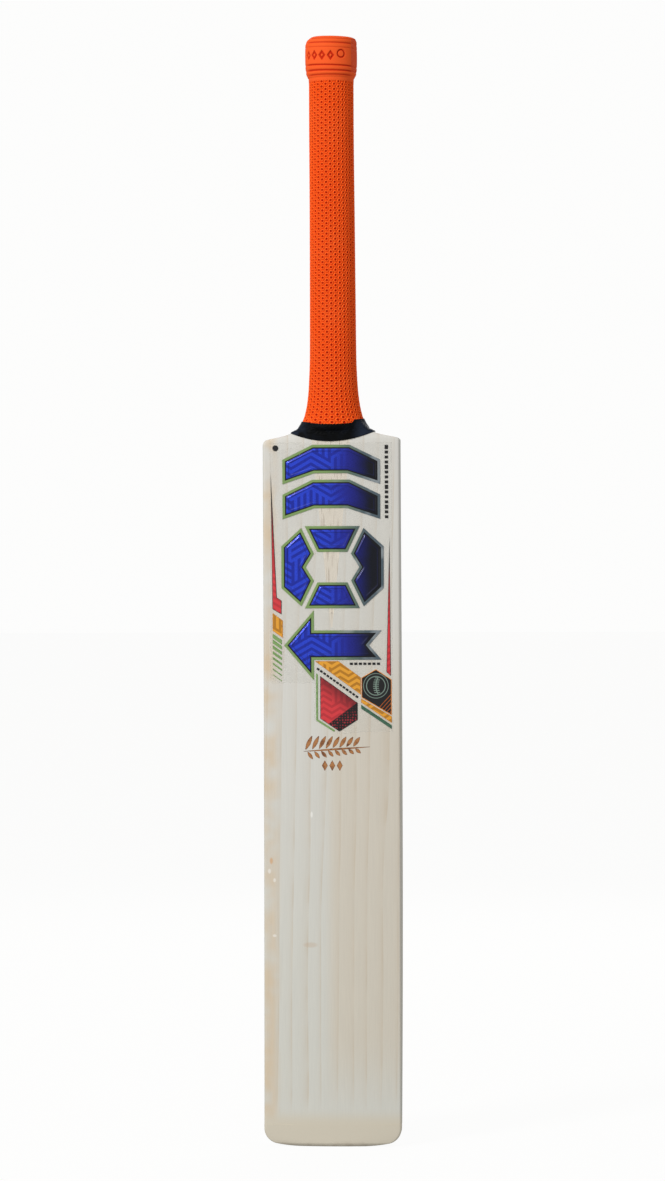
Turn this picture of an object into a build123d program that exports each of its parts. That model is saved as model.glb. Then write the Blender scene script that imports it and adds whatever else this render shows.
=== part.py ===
from build123d import *
import math
import os

# Cricket bat. Origin at the middle of the toe's flat underside. +Z runs up the bat to the handle,
# the striking face looks towards -Y, and +X is to the right of someone looking at the face.

# ---- blade
BLADE_WIDTH = 107.0
SHOULDER_Z = 544.0          # the shoulders start to curve in here
NECK_TOP_Z = 600.0          # the willow round the handle feathers out here
SWELL_Z = 215.0             # height of the deepest part of the blade
FACE_Y = -10.0              # middle of the face at the toe and at the shoulders
BOW = 5.0                   # how far the middle of the face lies behind its two ends
CROWN = 2.0                 # how far the face falls back from its middle to its edges
FRONT_RADIUS = 2.0
BACK_RADIUS = 4.0
TOE_EDGE_DEPTH = 18.0
TOE_SPINE_DEPTH = 20.0
SWELL_EDGE_DEPTH = 38.0
SWELL_SPINE_DEPTH = 63.0
SHOULDER_EDGE_DEPTH = 23.0
SHOULDER_SPINE_DEPTH = 34.0
SECTION_HEIGHTS = [-5, 20, 60, 110, 160, 215, 270, 330, 400, 470, 520, SHOULDER_Z]
# Half width of the willow at heights above SHOULDER_Z: square shoulders that sweep up into the neck.
NECK_HALF_WIDTHS = [
    (546.3, 52.7),
    (548.6, 48.6),
    (550.6, 41.0),
    (552.8, 33.6),
    (556.0, 27.6),
    (561.0, 23.2),
    (569.0, 20.0),
    (582.0, 17.7),
    (NECK_TOP_Z, 16.2),
]
ROUNDED_Z = 576.0           # the neck is fully round from here up

# ---- toe
TOE_FLAT = 20.0             # half length of the flat rest
TOE_CROWN_RADIUS = 120.0
TOE_CORNER_RADIUS = 12.0
TOE_FRONT_RADIUS = 4.0
TOE_BACK_Y = 11.0           # the toe's rounding starts here at the back
TOE_OVERCUT = 0.15          # the corner's arc leaves the blade's side at a slight angle
GUARD_HEIGHT = 17.0
GUARD_WALL = 0.9
GUARD_SOLE = 3.0

# ---- handle
HANDLE_Y = 7.0              # the handle's axis lies this far behind the toe's middle
HANDLE_RADIUS = 15.0
HANDLE_TOP_Z = 857.0
SPLICE_TOP_Z = 547.0
SPLICE_TIP_Z = 402.0
SPLICE_TIP_HALF = 0.6
CANE_THICKNESS = 6.6
SPRING_THICKNESS = 1.2
CANE_COLUMN_HALF = 5.0
TWINE_THICKNESS = 0.8

# ---- grip
GRIP_RADIUS = 17.8
GRIP_BOTTOM_Z = 557.0
GRIP_ROUND_Z = 645.0
CUFF_BOTTOM_Z = 828.5
CUFF_BEAD_RADIUS = 19.6     # top of the lowest bead
CUFF_BEAD_Z = 831.5
CUFF_RADIUS = 20.5          # at its fullest
CUFF_FULL_Z = 844.0
CUFF_UPPER_RADIUS = 19.9
CUFF_UPPER_Z = 856.0
CUFF_TOP_Z = 861.5
CUFF_TOP_ROUND = (18.8, 859.8)
CUFF_TOP_RADIUS = 16.0      # the flat top starts here
CUFF_HOLE_RADIUS = 12.0
# Height, half width and half depth of the flared skirt.
GRIP_SKIRT = [
    (GRIP_BOTTOM_Z, 28.0, 19.6),
    (561.0, 25.3, 19.4),
    (567.0, 22.9, 19.1),
    (577.0, 20.8, 18.8),
    (590.0, 19.4, 18.5),
    (612.0, 18.4, 18.1),
    (GRIP_ROUND_Z, GRIP_RADIUS, GRIP_RADIUS),
]

# ---- tape
TAPE_THICKNESS = 0.7
TAPE_TOP_MIDDLE_Z = 559.5
TAPE_TOP_SIDE_Z = 562.5
TAPE_TOP_SIDE_X = 26.0
TAPE_LOW_MIDDLE_Z = 546.4
TAPE_LOW_SIDE_Z = 553.0
TAPE_LOW_SIDE_X = 33.5
TAPE_REACH_X = 45.0         # wider than the tape
TAPE_START = 0.5            # the tape's shape starts this far above SHOULDER_Z

# ---- labels, each layer's distance in front of the willow
FILM_FRONT = 0.2
PRINT_FRONT = 0.35
EMBLEM_FRONT = 1.2
LABEL_BLOCK = (96.0, 60.0, 234.0)
LABEL_BLOCK_Z = 430.0

REACH = 200.0               # longer than any cut needs


# ------------------------------------------------------------------ blade shape
def swell(z, at_shoulder):
    """0 at the toe, 1 at the swell, at_shoulder at the shoulders."""
    if z <= SWELL_Z:
        return math.sin(math.pi / 2 * z / SWELL_Z)
    fall = 0.5 + 0.5 * math.cos(math.pi * (z - SWELL_Z) / (SHOULDER_Z - SWELL_Z))
    return at_shoulder + (1 - at_shoulder) * fall


def depth_at(z, toe, deepest, shoulder):
    return toe + (deepest - toe) * swell(z, (shoulder - toe) / (deepest - toe))


def face_at(z):
    """Y of the middle of the face: a shallow parabola along the blade."""
    share = z / SHOULDER_Z
    return FACE_Y + BOW * 4 * share * (1 - share)


def ridge_share(s):
    """Height of the back above its edges, from 1 on the spine (s=0) to 0 at the edge (s=1)."""
    c = math.cos(math.pi / 2 * s)
    return 0.8 * c**3.5 + 0.2 * c


def blade_half(z):
    """Right half of the blade's section, from the end of the face round to the spine."""
    half = BLADE_WIDTH / 2
    face = face_at(z)
    edge = face + depth_at(z, TOE_EDGE_DEPTH, SWELL_EDGE_DEPTH, SHOULDER_EDGE_DEPTH)
    spine = face + depth_at(z, TOE_SPINE_DEPTH, SWELL_SPINE_DEPTH, SHOULDER_SPINE_DEPTH)
    bend = 1 - math.sqrt(0.5)
    front = face + CROWN
    side = (front + FRONT_RADIUS + edge - BACK_RADIUS) / 2
    points = [
        (half - FRONT_RADIUS, front),
        (half - bend * FRONT_RADIUS, front + bend * FRONT_RADIUS),
        (half, front + FRONT_RADIUS),
        (half, side),
        (half, edge - BACK_RADIUS),
        (half - bend * BACK_RADIUS, edge - bend * BACK_RADIUS),
    ]
    for s in (1.0, 0.75, 0.5, 0.25, 0.0):
        points.append((s * (half - BACK_RADIUS), edge + (spine - edge) * ridge_share(s)))
    return (0.0, face), points


def round_half(half_width, half_depth):
    """The same points laid on an ellipse round the handle's axis."""
    angles = [40, 52.5, 65, 90, 115, 127.5, 140, 150, 160, 170, 180]
    points = []
    for angle in angles:
        a = math.radians(angle)
        points.append((half_width * math.sin(a), HANDLE_Y - half_depth * math.cos(a)))
    return (0.0, HANDLE_Y - half_depth), points


def section_face(z, front, points):
    """Closed outline at height z from the face's middle and the right half's points."""
    right = [Vector(x, y, z) for x, y in points]
    left = [Vector(-x, y, z) for x, y in points]
    back = right[6:] + left[6:-1][::-1]
    edges = [
        ThreePointArc(left[0], Vector(front[0], front[1], z), right[0]),
        ThreePointArc(right[0], right[1], right[2]),
        Spline(right[2], right[3], right[4]),
        ThreePointArc(right[4], right[5], right[6]),
        Spline(*back),
        ThreePointArc(left[6], left[5], left[4]),
        Spline(left[4], left[3], left[2]),
        ThreePointArc(left[2], left[1], left[0]),
    ]
    return make_face(edges)


def neck_section(z, half_width, grow=0.0):
    """Section between the blade's and the handle's, half_width wide, grown all round by grow."""
    share = min(1.0, (z - SHOULDER_Z) / (ROUNDED_Z - SHOULDER_Z))
    blend = share * share * (3 - 2 * share)
    top_depth = NECK_HALF_WIDTHS[-1][1]
    blade_front, blade_points = blade_half(SHOULDER_Z)
    round_front, round_points = round_half(1.0, top_depth + grow)
    front_y = (1 - blend) * (blade_front[1] - grow) + blend * round_front[1]
    points = []
    for (bx, by), (rx, ry) in zip(blade_points, round_points):
        away = grow if by > HANDLE_Y else -grow
        x = (half_width + grow) * ((1 - blend) * bx / (BLADE_WIDTH / 2) + blend * rx)
        points.append((x, (1 - blend) * (by + away) + blend * ry))
    return section_face(z, (0.0, front_y), points)


def blade_body():
    """Full willow shape before the toe is rounded and the handle let in."""
    lower = loft([section_face(z, *blade_half(z)) for z in SECTION_HEIGHTS])
    sections = [section_face(SHOULDER_Z, *blade_half(SHOULDER_Z))]
    sections += [neck_section(z, half) for z, half in NECK_HALF_WIDTHS]
    return lower + loft(sections, ruled=True)


def toe_outline(inset=0.0, sole=0.0):
    """Prism of the front view: flat rest, gently crowned sole, rounded corners."""
    half = BLADE_WIDTH / 2 + TOE_OVERCUT - inset
    corner = TOE_CORNER_RADIUS
    sine = (half - TOE_FLAT - corner) / (TOE_CROWN_RADIUS - corner)
    turn = math.asin(sine)
    knee = (TOE_FLAT + TOE_CROWN_RADIUS * sine, sole + TOE_CROWN_RADIUS * (1 - math.cos(turn)))
    half_turn = turn / 2
    crown_mid = (
        TOE_FLAT + TOE_CROWN_RADIUS * math.sin(half_turn),
        sole + TOE_CROWN_RADIUS * (1 - math.cos(half_turn)),
    )
    lean = (turn + math.pi / 2) / 2
    corner_mid = (
        knee[0] + corner * (math.sin(lean) - sine),
        knee[1] + corner * (math.cos(turn) - math.cos(lean)),
    )
    end = (half, knee[1] + corner * math.cos(turn))
    top = (half + TOE_CORNER_RADIUS, REACH * 4)
    edges = [
        Line((-TOE_FLAT, sole), (TOE_FLAT, sole)),
        ThreePointArc((TOE_FLAT, sole), crown_mid, knee),
        ThreePointArc(knee, corner_mid, end),
        Line(end, top),
        Line(top, (-top[0], top[1])),
        Line((-top[0], top[1]), (-end[0], end[1])),
        ThreePointArc((-end[0], end[1]), (-corner_mid[0], corner_mid[1]), (-knee[0], knee[1])),
        ThreePointArc((-knee[0], knee[1]), (-crown_mid[0], crown_mid[1]), (-TOE_FLAT, sole)),
    ]
    return extrude(Plane.XZ * make_face(edges), amount=REACH, both=True)


def toe_side():
    """Prism of the side view: rounds the toe's front and back edges."""
    radius = TOE_FRONT_RADIUS
    bend = (1 - math.sqrt(0.5)) * radius
    front = FACE_Y
    back = TOE_BACK_Y
    edges = [
        Line((front + radius, 0), (back - radius, 0)),
        ThreePointArc((back - radius, 0), (back - bend, bend), (back, radius)),
        Line((back, radius), (REACH, radius)),
        Line((REACH, radius), (REACH, REACH * 4)),
        Line((REACH, REACH * 4), (-REACH, REACH * 4)),
        Line((-REACH, REACH * 4), (-REACH, radius)),
        Line((-REACH, radius), (front, radius)),
        ThreePointArc((front, radius), (front + bend, bend), (front + radius, 0)),
    ]
    return extrude(Plane.YZ * make_face(edges), amount=REACH, both=True)


def toe_guard_of(willow):
    """Cap with a thin wall and a thicker sole, flush with the willow above it."""
    slab = Pos(0, 0, GUARD_HEIGHT / 2) * Box(REACH, REACH, GUARD_HEIGHT)
    end = willow & slab
    core = Pos(0, GUARD_WALL, 0) * end
    core = core & (Pos(0, -GUARD_WALL, 0) * end)
    core = core & toe_outline(inset=GUARD_WALL, sole=GUARD_SOLE)
    return end - core


# ------------------------------------------------------------------ handle
def splice_prism():
    """V-shaped tongue let into the blade from face to back."""
    half = HANDLE_RADIUS
    points = [
        (-SPLICE_TIP_HALF, SPLICE_TIP_Z),
        (SPLICE_TIP_HALF, SPLICE_TIP_Z),
        (half, SPLICE_TOP_Z),
        (-half, SPLICE_TOP_Z),
    ]
    return extrude(Plane.XZ * make_face(Polyline(*points, close=True)), amount=REACH, both=True)


def shaft_rod(radius):
    length = HANDLE_TOP_Z - SPLICE_TOP_Z
    return Pos(0, HANDLE_Y, SPLICE_TOP_Z + length / 2) * Cylinder(radius, length)


def handle_body(willow):
    return (willow & splice_prism()) + shaft_rod(HANDLE_RADIUS)


def slab_between(x0, x1, y0, y1):
    """Upright bar over the handle's whole height; y is measured from the handle's axis."""
    middle = Pos((x0 + x1) / 2, HANDLE_Y + (y0 + y1) / 2, REACH * 3)
    return middle * Box(x1 - x0, y1 - y0, REACH * 4)


def handle_pieces(handle):
    """Four layers of three cane strips with a spring sheet between each two layers."""
    pitch = CANE_THICKNESS + SPRING_THICKNESS
    half_spring = SPRING_THICKNESS / 2
    pieces = {}
    for name, place in (("spring_front", -1), ("spring_middle", 0), ("spring_back", 1)):
        middle = place * pitch
        pieces[name] = handle & slab_between(-REACH, REACH, middle - half_spring, middle + half_spring)
    inner = pitch - half_spring
    layers = [
        ("front", -REACH / 2, -pitch - half_spring),
        ("front_core", -inner, -half_spring),
        ("back_core", half_spring, inner),
        ("back", pitch + half_spring, REACH / 2),
    ]
    columns = [
        ("left", -REACH / 2, -CANE_COLUMN_HALF),
        ("centre", -CANE_COLUMN_HALF, CANE_COLUMN_HALF),
        ("right", CANE_COLUMN_HALF, REACH / 2),
    ]
    for layer, y0, y1 in layers:
        for column, x0, x1 in columns:
            pieces[f"cane_{layer}_{column}"] = handle & slab_between(x0, x1, y0, y1)
    return pieces


def twine_sleeve():
    length = HANDLE_TOP_Z - NECK_TOP_Z
    place = Pos(0, HANDLE_Y, NECK_TOP_Z + length / 2)
    return place * (Cylinder(HANDLE_RADIUS + TWINE_THICKNESS, length) - Cylinder(HANDLE_RADIUS, length))


# ------------------------------------------------------------------ grip and tape
def ellipse_section(z, half_width, half_depth):
    return Pos(0, HANDLE_Y, z) * Ellipse(half_width, half_depth)


def grip_outer(grow=0.0):
    """Outer shape of the sleeve: flared skirt, round tube and thicker cuff."""
    skirt = loft([ellipse_section(z, a + grow, b + grow) for z, a, b in GRIP_SKIRT], ruled=True)
    if grow:
        return skirt
    bead = (CUFF_BEAD_RADIUS, CUFF_BEAD_Z)
    upper = (CUFF_UPPER_RADIUS, CUFF_UPPER_Z)
    cuff_edges = [
        Line((0, GRIP_ROUND_Z), (GRIP_RADIUS, GRIP_ROUND_Z)),
        Line((GRIP_RADIUS, GRIP_ROUND_Z), (GRIP_RADIUS, CUFF_BOTTOM_Z)),
        Line((GRIP_RADIUS, CUFF_BOTTOM_Z), bead),
        ThreePointArc(bead, (CUFF_RADIUS, CUFF_FULL_Z), upper),
        ThreePointArc(upper, CUFF_TOP_ROUND, (CUFF_TOP_RADIUS, CUFF_TOP_Z)),
        Line((CUFF_TOP_RADIUS, CUFF_TOP_Z), (0, CUFF_TOP_Z)),
        Line((0, CUFF_TOP_Z), (0, GRIP_ROUND_Z)),
    ]
    tube = revolve(Plane.XZ * make_face(cuff_edges), Axis.Z)
    return skirt + Pos(0, HANDLE_Y, 0) * tube


def grip_of(willow):
    hole_height = CUFF_TOP_Z - HANDLE_TOP_Z
    hole = Pos(0, HANDLE_Y, HANDLE_TOP_Z + hole_height / 2) * Cylinder(CUFF_HOLE_RADIUS, hole_height)
    return grip_outer() - shaft_rod(HANDLE_RADIUS + TWINE_THICKNESS) - hole - willow


def band_prism():
    """Front view of the tape: both edges dip in the middle."""
    side = REACH / 2
    top_rise = (TAPE_TOP_SIDE_Z - TAPE_TOP_MIDDLE_Z) / TAPE_TOP_SIDE_X**2
    low_rise = (TAPE_LOW_SIDE_Z - TAPE_LOW_MIDDLE_Z) / TAPE_LOW_SIDE_X**2
    half = TAPE_REACH_X
    top_z = TAPE_TOP_MIDDLE_Z + top_rise * half**2
    low_z = TAPE_LOW_MIDDLE_Z + low_rise * half**2
    edges = [
        ThreePointArc((-half, low_z), (0, TAPE_LOW_MIDDLE_Z), (half, low_z)),
        Line((half, low_z), (half, top_z)),
        ThreePointArc((half, top_z), (0, TAPE_TOP_MIDDLE_Z), (-half, top_z)),
        Line((-half, top_z), (-half, low_z)),
    ]
    return extrude(Plane.XZ * make_face(edges), amount=side, both=True)


def tape_of(willow, grip, handle):
    rise = TAPE_THICKNESS
    start = neck_section(SHOULDER_Z + TAPE_START, BLADE_WIDTH / 2, rise)
    sections = [start] + [neck_section(z + rise, half, rise) for z, half in NECK_HALF_WIDTHS]
    over_wood = loft(sections, ruled=True)
    over_grip = grip_outer(grow=TAPE_THICKNESS)
    band = ((over_wood + over_grip) & band_prism()) - grip - willow - handle
    return band.solids().sort_by(SortBy.VOLUME)[-1]


# ------------------------------------------------------------------ labels
def face_block(willow):
    """The part of the blade behind the graphics, with flat sides."""
    return willow & (Pos(0, 0, LABEL_BLOCK_Z) * Box(*LABEL_BLOCK))


def label_layer(block, outline, back, front):
    """Plate between two distances in front of the willow, cut to outlines in the front view."""
    prism = extrude(Plane.XZ * outline, amount=REACH / 4)
    return (Pos(0, -front, 0) * block & prism) - Pos(0, -back, 0) * block


def polygon(*points):
    return make_face(Polyline(*points, close=True))


def film_outline():
    return polygon(
        (-47.6, 545.4), (47.2, 545.4), (47.2, 321.0), (24.0, 321.0), (6.0, 319.6), (-13.6, 329.6),
        (-13.6, 359.0), (-47.6, 359.0),
    )


def emblem_upper_outline():
    """Two stacked chevrons pointing up the bat."""
    outline = Sketch()
    for base in (486.0, 513.0):
        outline += polygon(
            (-37.8, base), (-13.0, base + 8.5), (12.5, base + 8.5), (38.0, base),
            (38.0, base + 19.0), (14.5, base + 30.5), (-14.5, base + 30.5), (-37.8, base + 19.0),
        )
    return outline


def emblem_middle_outline():
    """Six-sided ring round a lozenge, cut by four diagonal slits into separate pads."""
    middle_z = 448.8
    outline = Sketch()
    for turn in (-1, 1):
        outer_z = middle_z + turn * 31.8
        inner_z = middle_z + turn * 11.8
        outline += polygon((-20.6, outer_z), (22.0, outer_z), (12.4, inner_z), (-10.9, inner_z))
    middle_x = 0.8
    for turn in (-1, 1):
        outline += polygon(
            (middle_x + turn * 24.2, middle_z + 30.4), (middle_x + turn * 39.7, middle_z + 16.2),
            (middle_x + turn * 39.7, middle_z - 16.2), (middle_x + turn * 24.2, middle_z - 30.4),
            (middle_x + turn * 14.4, middle_z - 10.4), (middle_x + turn * 20.8, middle_z),
            (middle_x + turn * 14.4, middle_z + 10.4),
        )
    return outline


def emblem_lower_outline():
    """Notched dart."""
    return polygon(
        (-37.0, 388.2), (-13.8, 415.4), (-13.8, 399.8), (38.8, 399.8), (29.0, 388.4), (38.8, 377.0),
        (-13.8, 377.0), (-13.8, 361.0),
    )


def streak_left_outline():
    return polygon((-47.0, 521.4), (-42.6, 425.5), (-38.9, 423.0), (-38.9, 412.2), (-46.0, 416.4))


def streak_right_outline():
    return polygon((45.0, 472.0), (45.8, 364.4), (42.4, 367.4))


def chevron_outline():
    return polygon((-45.9, 413.4), (-38.0, 407.4), (-38.0, 394.0), (-45.9, 399.6))


def ladder_outline():
    """Eight slanted bars that thin out towards the toe."""
    outline = Sketch()
    count = 8
    for i in range(count):
        left_z = 397.4 - 4.5 * i
        right_z = left_z - 5.0
        thick = 3.4 - 2.7 * i / (count - 1)
        outline += polygon(
            (-45.9, left_z), (-38.8, right_z), (-38.8, right_z - thick), (-45.9, left_z - thick)
        )
    return outline


def gold_band_outline():
    upper = polygon((-13.1, 376.0), (5.2, 376.0), (22.4, 363.3), (22.4, 350.0))
    lower = polygon((22.7, 347.0), (46.4, 333.0), (46.4, 328.0), (22.7, 344.0))
    return Sketch() + upper + lower


def badge_outline():
    return polygon((23.0, 363.0), (34.2, 369.6), (46.3, 361.6), (46.3, 334.0), (23.0, 347.8))


def shield_outline():
    return polygon((-9.0, 364.4), (20.0, 343.6), (20.0, 330.4), (5.8, 321.4), (-9.0, 331.4))


def bracket_outline():
    return polygon(
        (-12.2, 366.6), (-10.8, 365.6), (-10.8, 330.8), (2.4, 322.4), (1.6, 321.2), (-12.2, 330.0)
    )


def dark_bar_outline():
    return polygon((22.7, 342.2), (46.4, 326.2), (46.4, 323.2), (22.7, 339.2))


def dot_outline():
    return Pos(-43.2, 541.0) * Circle(2.3)


def tick_outline():
    """Plain dashes: a column by the upper emblem, a short row by the lower one and a slanted row."""
    outline = Sketch()
    for i in range(15):
        length = 2.2 if i % 4 else 3.2
        outline += Pos(42.9, 541.6 - 3.85 * i) * Rectangle(2.6, length)
    for i in range(7):
        outline += Pos(15.2 + 3.5 * i, 373.9) * Rectangle(2.4, 1.8)
    slant = math.degrees(math.atan2(-22.5, 31.6))
    for i in range(13):
        outline += Pos(-10.6 + 2.5 * i, 369.8 - 1.78 * i) * Rot(0, 0, slant) * Rectangle(2.2, 1.6)
    return outline


# ------------------------------------------------------------------ assembly
def build_nodes():
    willow = blade_body() & toe_outline() & toe_side()
    handle = handle_body(willow)
    guard = toe_guard_of(willow)
    grip = grip_of(willow)
    nodes = {
        "blade": willow - guard - splice_prism() - shaft_rod(HANDLE_RADIUS),
        "toe_guard": guard,
        "twine_binding": twine_sleeve(),
        "grip": grip,
        "shoulder_tape": tape_of(willow, grip, handle),
    }
    nodes.update(handle_pieces(handle))
    block = face_block(willow)
    nodes["face_film"] = label_layer(block, film_outline(), 0.0, FILM_FRONT)
    emblems = {
        "emblem_upper": emblem_upper_outline(),
        "emblem_middle": emblem_middle_outline(),
        "emblem_lower": emblem_lower_outline(),
    }
    for name, outline in emblems.items():
        nodes[name] = label_layer(block, outline, FILM_FRONT, EMBLEM_FRONT)
    prints = {
        "streak_left": streak_left_outline(),
        "streak_right": streak_right_outline(),
        "chevron_gold": chevron_outline(),
        "ladder_green": ladder_outline(),
        "band_gold": gold_band_outline(),
        "badge_hex": badge_outline(),
        "shield_red": shield_outline(),
        "bracket_green": bracket_outline(),
        "bar_dark_green": dark_bar_outline(),
        "dot_black": dot_outline(),
        "tick_marks": tick_outline(),
    }
    for name, outline in prints.items():
        nodes[name] = label_layer(block, outline, FILM_FRONT, PRINT_FRONT)
    return nodes


os.makedirs("parts", exist_ok=True)
for node_name, shape in build_nodes().items():
    export_step(shape, f"parts/{node_name}.step")
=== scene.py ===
"""Cricket bat: the finished looks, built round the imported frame.

Metres. The toe's flat rest is at the origin, +Z runs up to the handle, the face looks towards -Y.
"""
import logging
import math
from dataclasses import dataclass, field
from enum import Enum
from typing import Callable, ClassVar, Iterable, Sequence, Union

import bmesh
import bpy
import numpy as np
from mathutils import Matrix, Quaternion, Vector


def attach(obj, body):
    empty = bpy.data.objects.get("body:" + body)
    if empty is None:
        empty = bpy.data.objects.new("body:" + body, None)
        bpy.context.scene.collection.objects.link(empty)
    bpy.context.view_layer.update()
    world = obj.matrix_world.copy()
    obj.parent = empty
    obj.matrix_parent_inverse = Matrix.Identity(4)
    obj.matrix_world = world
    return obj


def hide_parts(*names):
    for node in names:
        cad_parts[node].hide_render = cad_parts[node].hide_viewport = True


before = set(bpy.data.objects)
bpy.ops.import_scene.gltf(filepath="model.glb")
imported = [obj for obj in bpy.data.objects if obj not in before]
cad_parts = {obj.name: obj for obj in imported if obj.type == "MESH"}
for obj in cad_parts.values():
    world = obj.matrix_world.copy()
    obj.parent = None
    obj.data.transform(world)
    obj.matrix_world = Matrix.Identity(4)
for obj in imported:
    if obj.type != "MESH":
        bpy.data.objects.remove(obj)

LOG = logging.getLogger("cricket_bat")
MM = 0.001
ROOT_BODY = "root"
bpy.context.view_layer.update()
FULL_TURN = 2 * np.pi
WELD_DISTANCE = 0.004 * MM
CLEARANCE = 0.5

Array = np.ndarray
Colour = tuple[float, float, float, float]
Place2 = tuple[float, float]
Place3 = tuple[float, float, float]
Number = Union[float, "Signal"]
Value = Union[float, "Signal", Colour]


# ------------------------------------------------------------------ numbers and meshes
def smooth_curve(at: Array, knots: Sequence[float], values: Sequence[float]) -> Array:
    """Cubic Hermite curve through knots, its slopes limited so that it never overshoots.

    Args:
        at: places to evaluate, held inside the knots' range.
        knots: rising places where the value is known.
        values: the value at each knot.
    Returns:
        The curve's values, in the shape of ``at``.
    """
    places, heights = np.asarray(knots, float), np.asarray(values, float)
    gaps = np.diff(places)
    slopes = np.diff(heights) / gaps
    product, total = slopes[:-1] * slopes[1:], slopes[:-1] + slopes[1:]
    safe = np.where(np.abs(total) < 1e-12, 1.0, total)
    inner = np.where(product > 0, 2 * product / safe, 0.0)
    tangents = np.concatenate([slopes[:1], inner, slopes[-1:]])
    span = np.clip(np.searchsorted(places, at) - 1, 0, len(places) - 2)
    gap = gaps[span]
    t = np.clip((at - places[span]) / gap, 0, 1)
    start = heights[span] * (1 + 2 * t) * (1 - t) ** 2 + gap * tangents[span] * t * (1 - t) ** 2
    end = heights[span + 1] * t**2 * (3 - 2 * t) + gap * tangents[span + 1] * t**2 * (t - 1)
    return start + end


def ease(value: Array, low: float, high: float) -> Array:
    """Smooth step from 0 at low to 1 at high: 3t² - 2t³."""
    t = np.clip((value - low) / (high - low), 0, 1)
    return t * t * (3 - 2 * t)


def soft_rise(over: Array, softness: float = 0.09) -> Array:
    """Smooth version of max(over, 0): (over + √(over² + softness)) / 2."""
    return (over + np.sqrt(over**2 + softness)) / 2


def all_round(count: int) -> Array:
    """Evenly spaced angles of one full turn, the last one left out."""
    return np.linspace(0, FULL_TURN, count + 1)[:-1]


def capped(rings: Array, low: Sequence[float], high: Sequence[float]) -> Array:
    """Rings with one more row at each end, all at one place, which closes the grid."""
    ends = [np.broadcast_to(np.asarray(place, float), rings[:1].shape) for place in (low, high)]
    return np.concatenate([ends[0], rings, ends[1]])


def linked(name: str, data: bpy.types.ID) -> bpy.types.Object:
    """Makes an object of some data and links it to the scene."""
    made = bpy.data.objects.new(name, data)
    bpy.context.scene.collection.objects.link(made)
    return made


@dataclass
class Surface:
    """Vertices, faces and per-vertex values of one or more joined grids.

    Attributes:
        points: (n, 3) places in metres.
        faces: (m, 4) vertex numbers.
        marks: named per-vertex numbers that materials read.
    """

    points: Array
    faces: Array
    marks: dict[str, Array] = field(default_factory=dict)

    @staticmethod
    def from_grid(points: Array, marks: dict[str, Array] | None = None) -> "Surface":
        """Joins a (rows, columns, 3) grid into quads; the last column joins the first.

        Args:
            points: the grid of places.
            marks: named (rows, columns) values.
        Returns:
            The surface.
        """
        rows, columns = points.shape[:2]
        number = np.arange(rows * columns).reshape(rows, columns)
        number = np.hstack([number, number[:, :1]])
        corners = (number[:-1, :-1], number[:-1, 1:], number[1:, 1:], number[1:, :-1])
        faces = np.stack(corners, axis=-1).reshape(-1, 4)
        flat = {name: value.reshape(-1) for name, value in (marks or {}).items()}
        return Surface(points.reshape(-1, 3), faces, flat)

    @staticmethod
    def joined(surfaces: Iterable["Surface"]) -> "Surface":
        """Puts several surfaces into one, keeping the marks that the first one has."""
        parts = list(surfaces)
        starts = np.cumsum([0] + [len(part.points) for part in parts[:-1]])
        faces = [part.faces + start for part, start in zip(parts, starts)]
        marks = {name: np.concatenate([part.marks[name] for part in parts]) for name in parts[0].marks}
        return Surface(np.concatenate([part.points for part in parts]), np.concatenate(faces), marks)

    def to_object(self, name: str, crease_degrees: float = 32.0) -> bpy.types.Object:
        """Makes a welded, outward-facing object at the origin.

        Args:
            name: the object's name.
            crease_degrees: edges sharper than this stay crisp.
        Returns:
            The new object, linked to the scene.
        """
        mesh = bpy.data.meshes.new(name)
        mesh.vertices.add(len(self.points))
        mesh.vertices.foreach_set("co", self.points.astype(np.float32).ravel())
        mesh.loops.add(self.faces.size)
        mesh.loops.foreach_set("vertex_index", self.faces.astype(np.int32).ravel())
        mesh.polygons.add(len(self.faces))
        mesh.polygons.foreach_set("loop_start", np.arange(0, self.faces.size, 4, dtype=np.int32))
        for mark, values in self.marks.items():
            layer = mesh.attributes.new(mark, "FLOAT", "POINT")
            layer.data.foreach_set("value", values.astype(np.float32))
        mesh.update(calc_edges=True)
        weld(mesh)
        soften(mesh, crease_degrees)
        return linked(name, mesh)


def weld(mesh: bpy.types.Mesh) -> None:
    """Merges doubled vertices, drops collapsed faces and turns the faces outwards."""
    work = bmesh.new()
    work.from_mesh(mesh)
    bmesh.ops.remove_doubles(work, verts=work.verts, dist=WELD_DISTANCE)
    bmesh.ops.dissolve_degenerate(work, edges=work.edges, dist=WELD_DISTANCE / 4)
    bmesh.ops.recalc_face_normals(work, faces=work.faces)
    work.to_mesh(mesh)
    work.free()


def soften(mesh: bpy.types.Mesh, crease_degrees: float) -> None:
    """Shades the mesh smooth apart from edges sharper than the given angle."""
    mesh.polygons.foreach_set("use_smooth", np.ones(len(mesh.polygons), bool))
    mesh.set_sharp_from_angle(angle=math.radians(crease_degrees))


def cut_away(piece: bpy.types.Object, cutter: bpy.types.Object, crease_degrees: float) -> None:
    """Takes the cutter's volume out of a piece and removes the cutter."""
    step = piece.modifiers.new("cut", "BOOLEAN")
    step.operation = "DIFFERENCE"
    step.solver = "EXACT"
    step.object = cutter
    graph = bpy.context.evaluated_depsgraph_get()
    result = bpy.data.meshes.new_from_object(piece.evaluated_get(graph))
    piece.modifiers.clear()
    piece.data = result
    bpy.data.objects.remove(cutter)
    soften(result, crease_degrees)


def hand_over(piece: bpy.types.Object, material: bpy.types.Material, nodes: Sequence[str]) -> None:
    """Dresses a finished piece, ties it to the body and hides the CAD nodes it stands for."""
    piece.data.materials.clear()
    piece.data.materials.append(material)
    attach(piece, ROOT_BODY)
    if nodes:
        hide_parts(*nodes)
    LOG.info("%s: %d faces", piece.name, len(piece.data.polygons))


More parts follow.
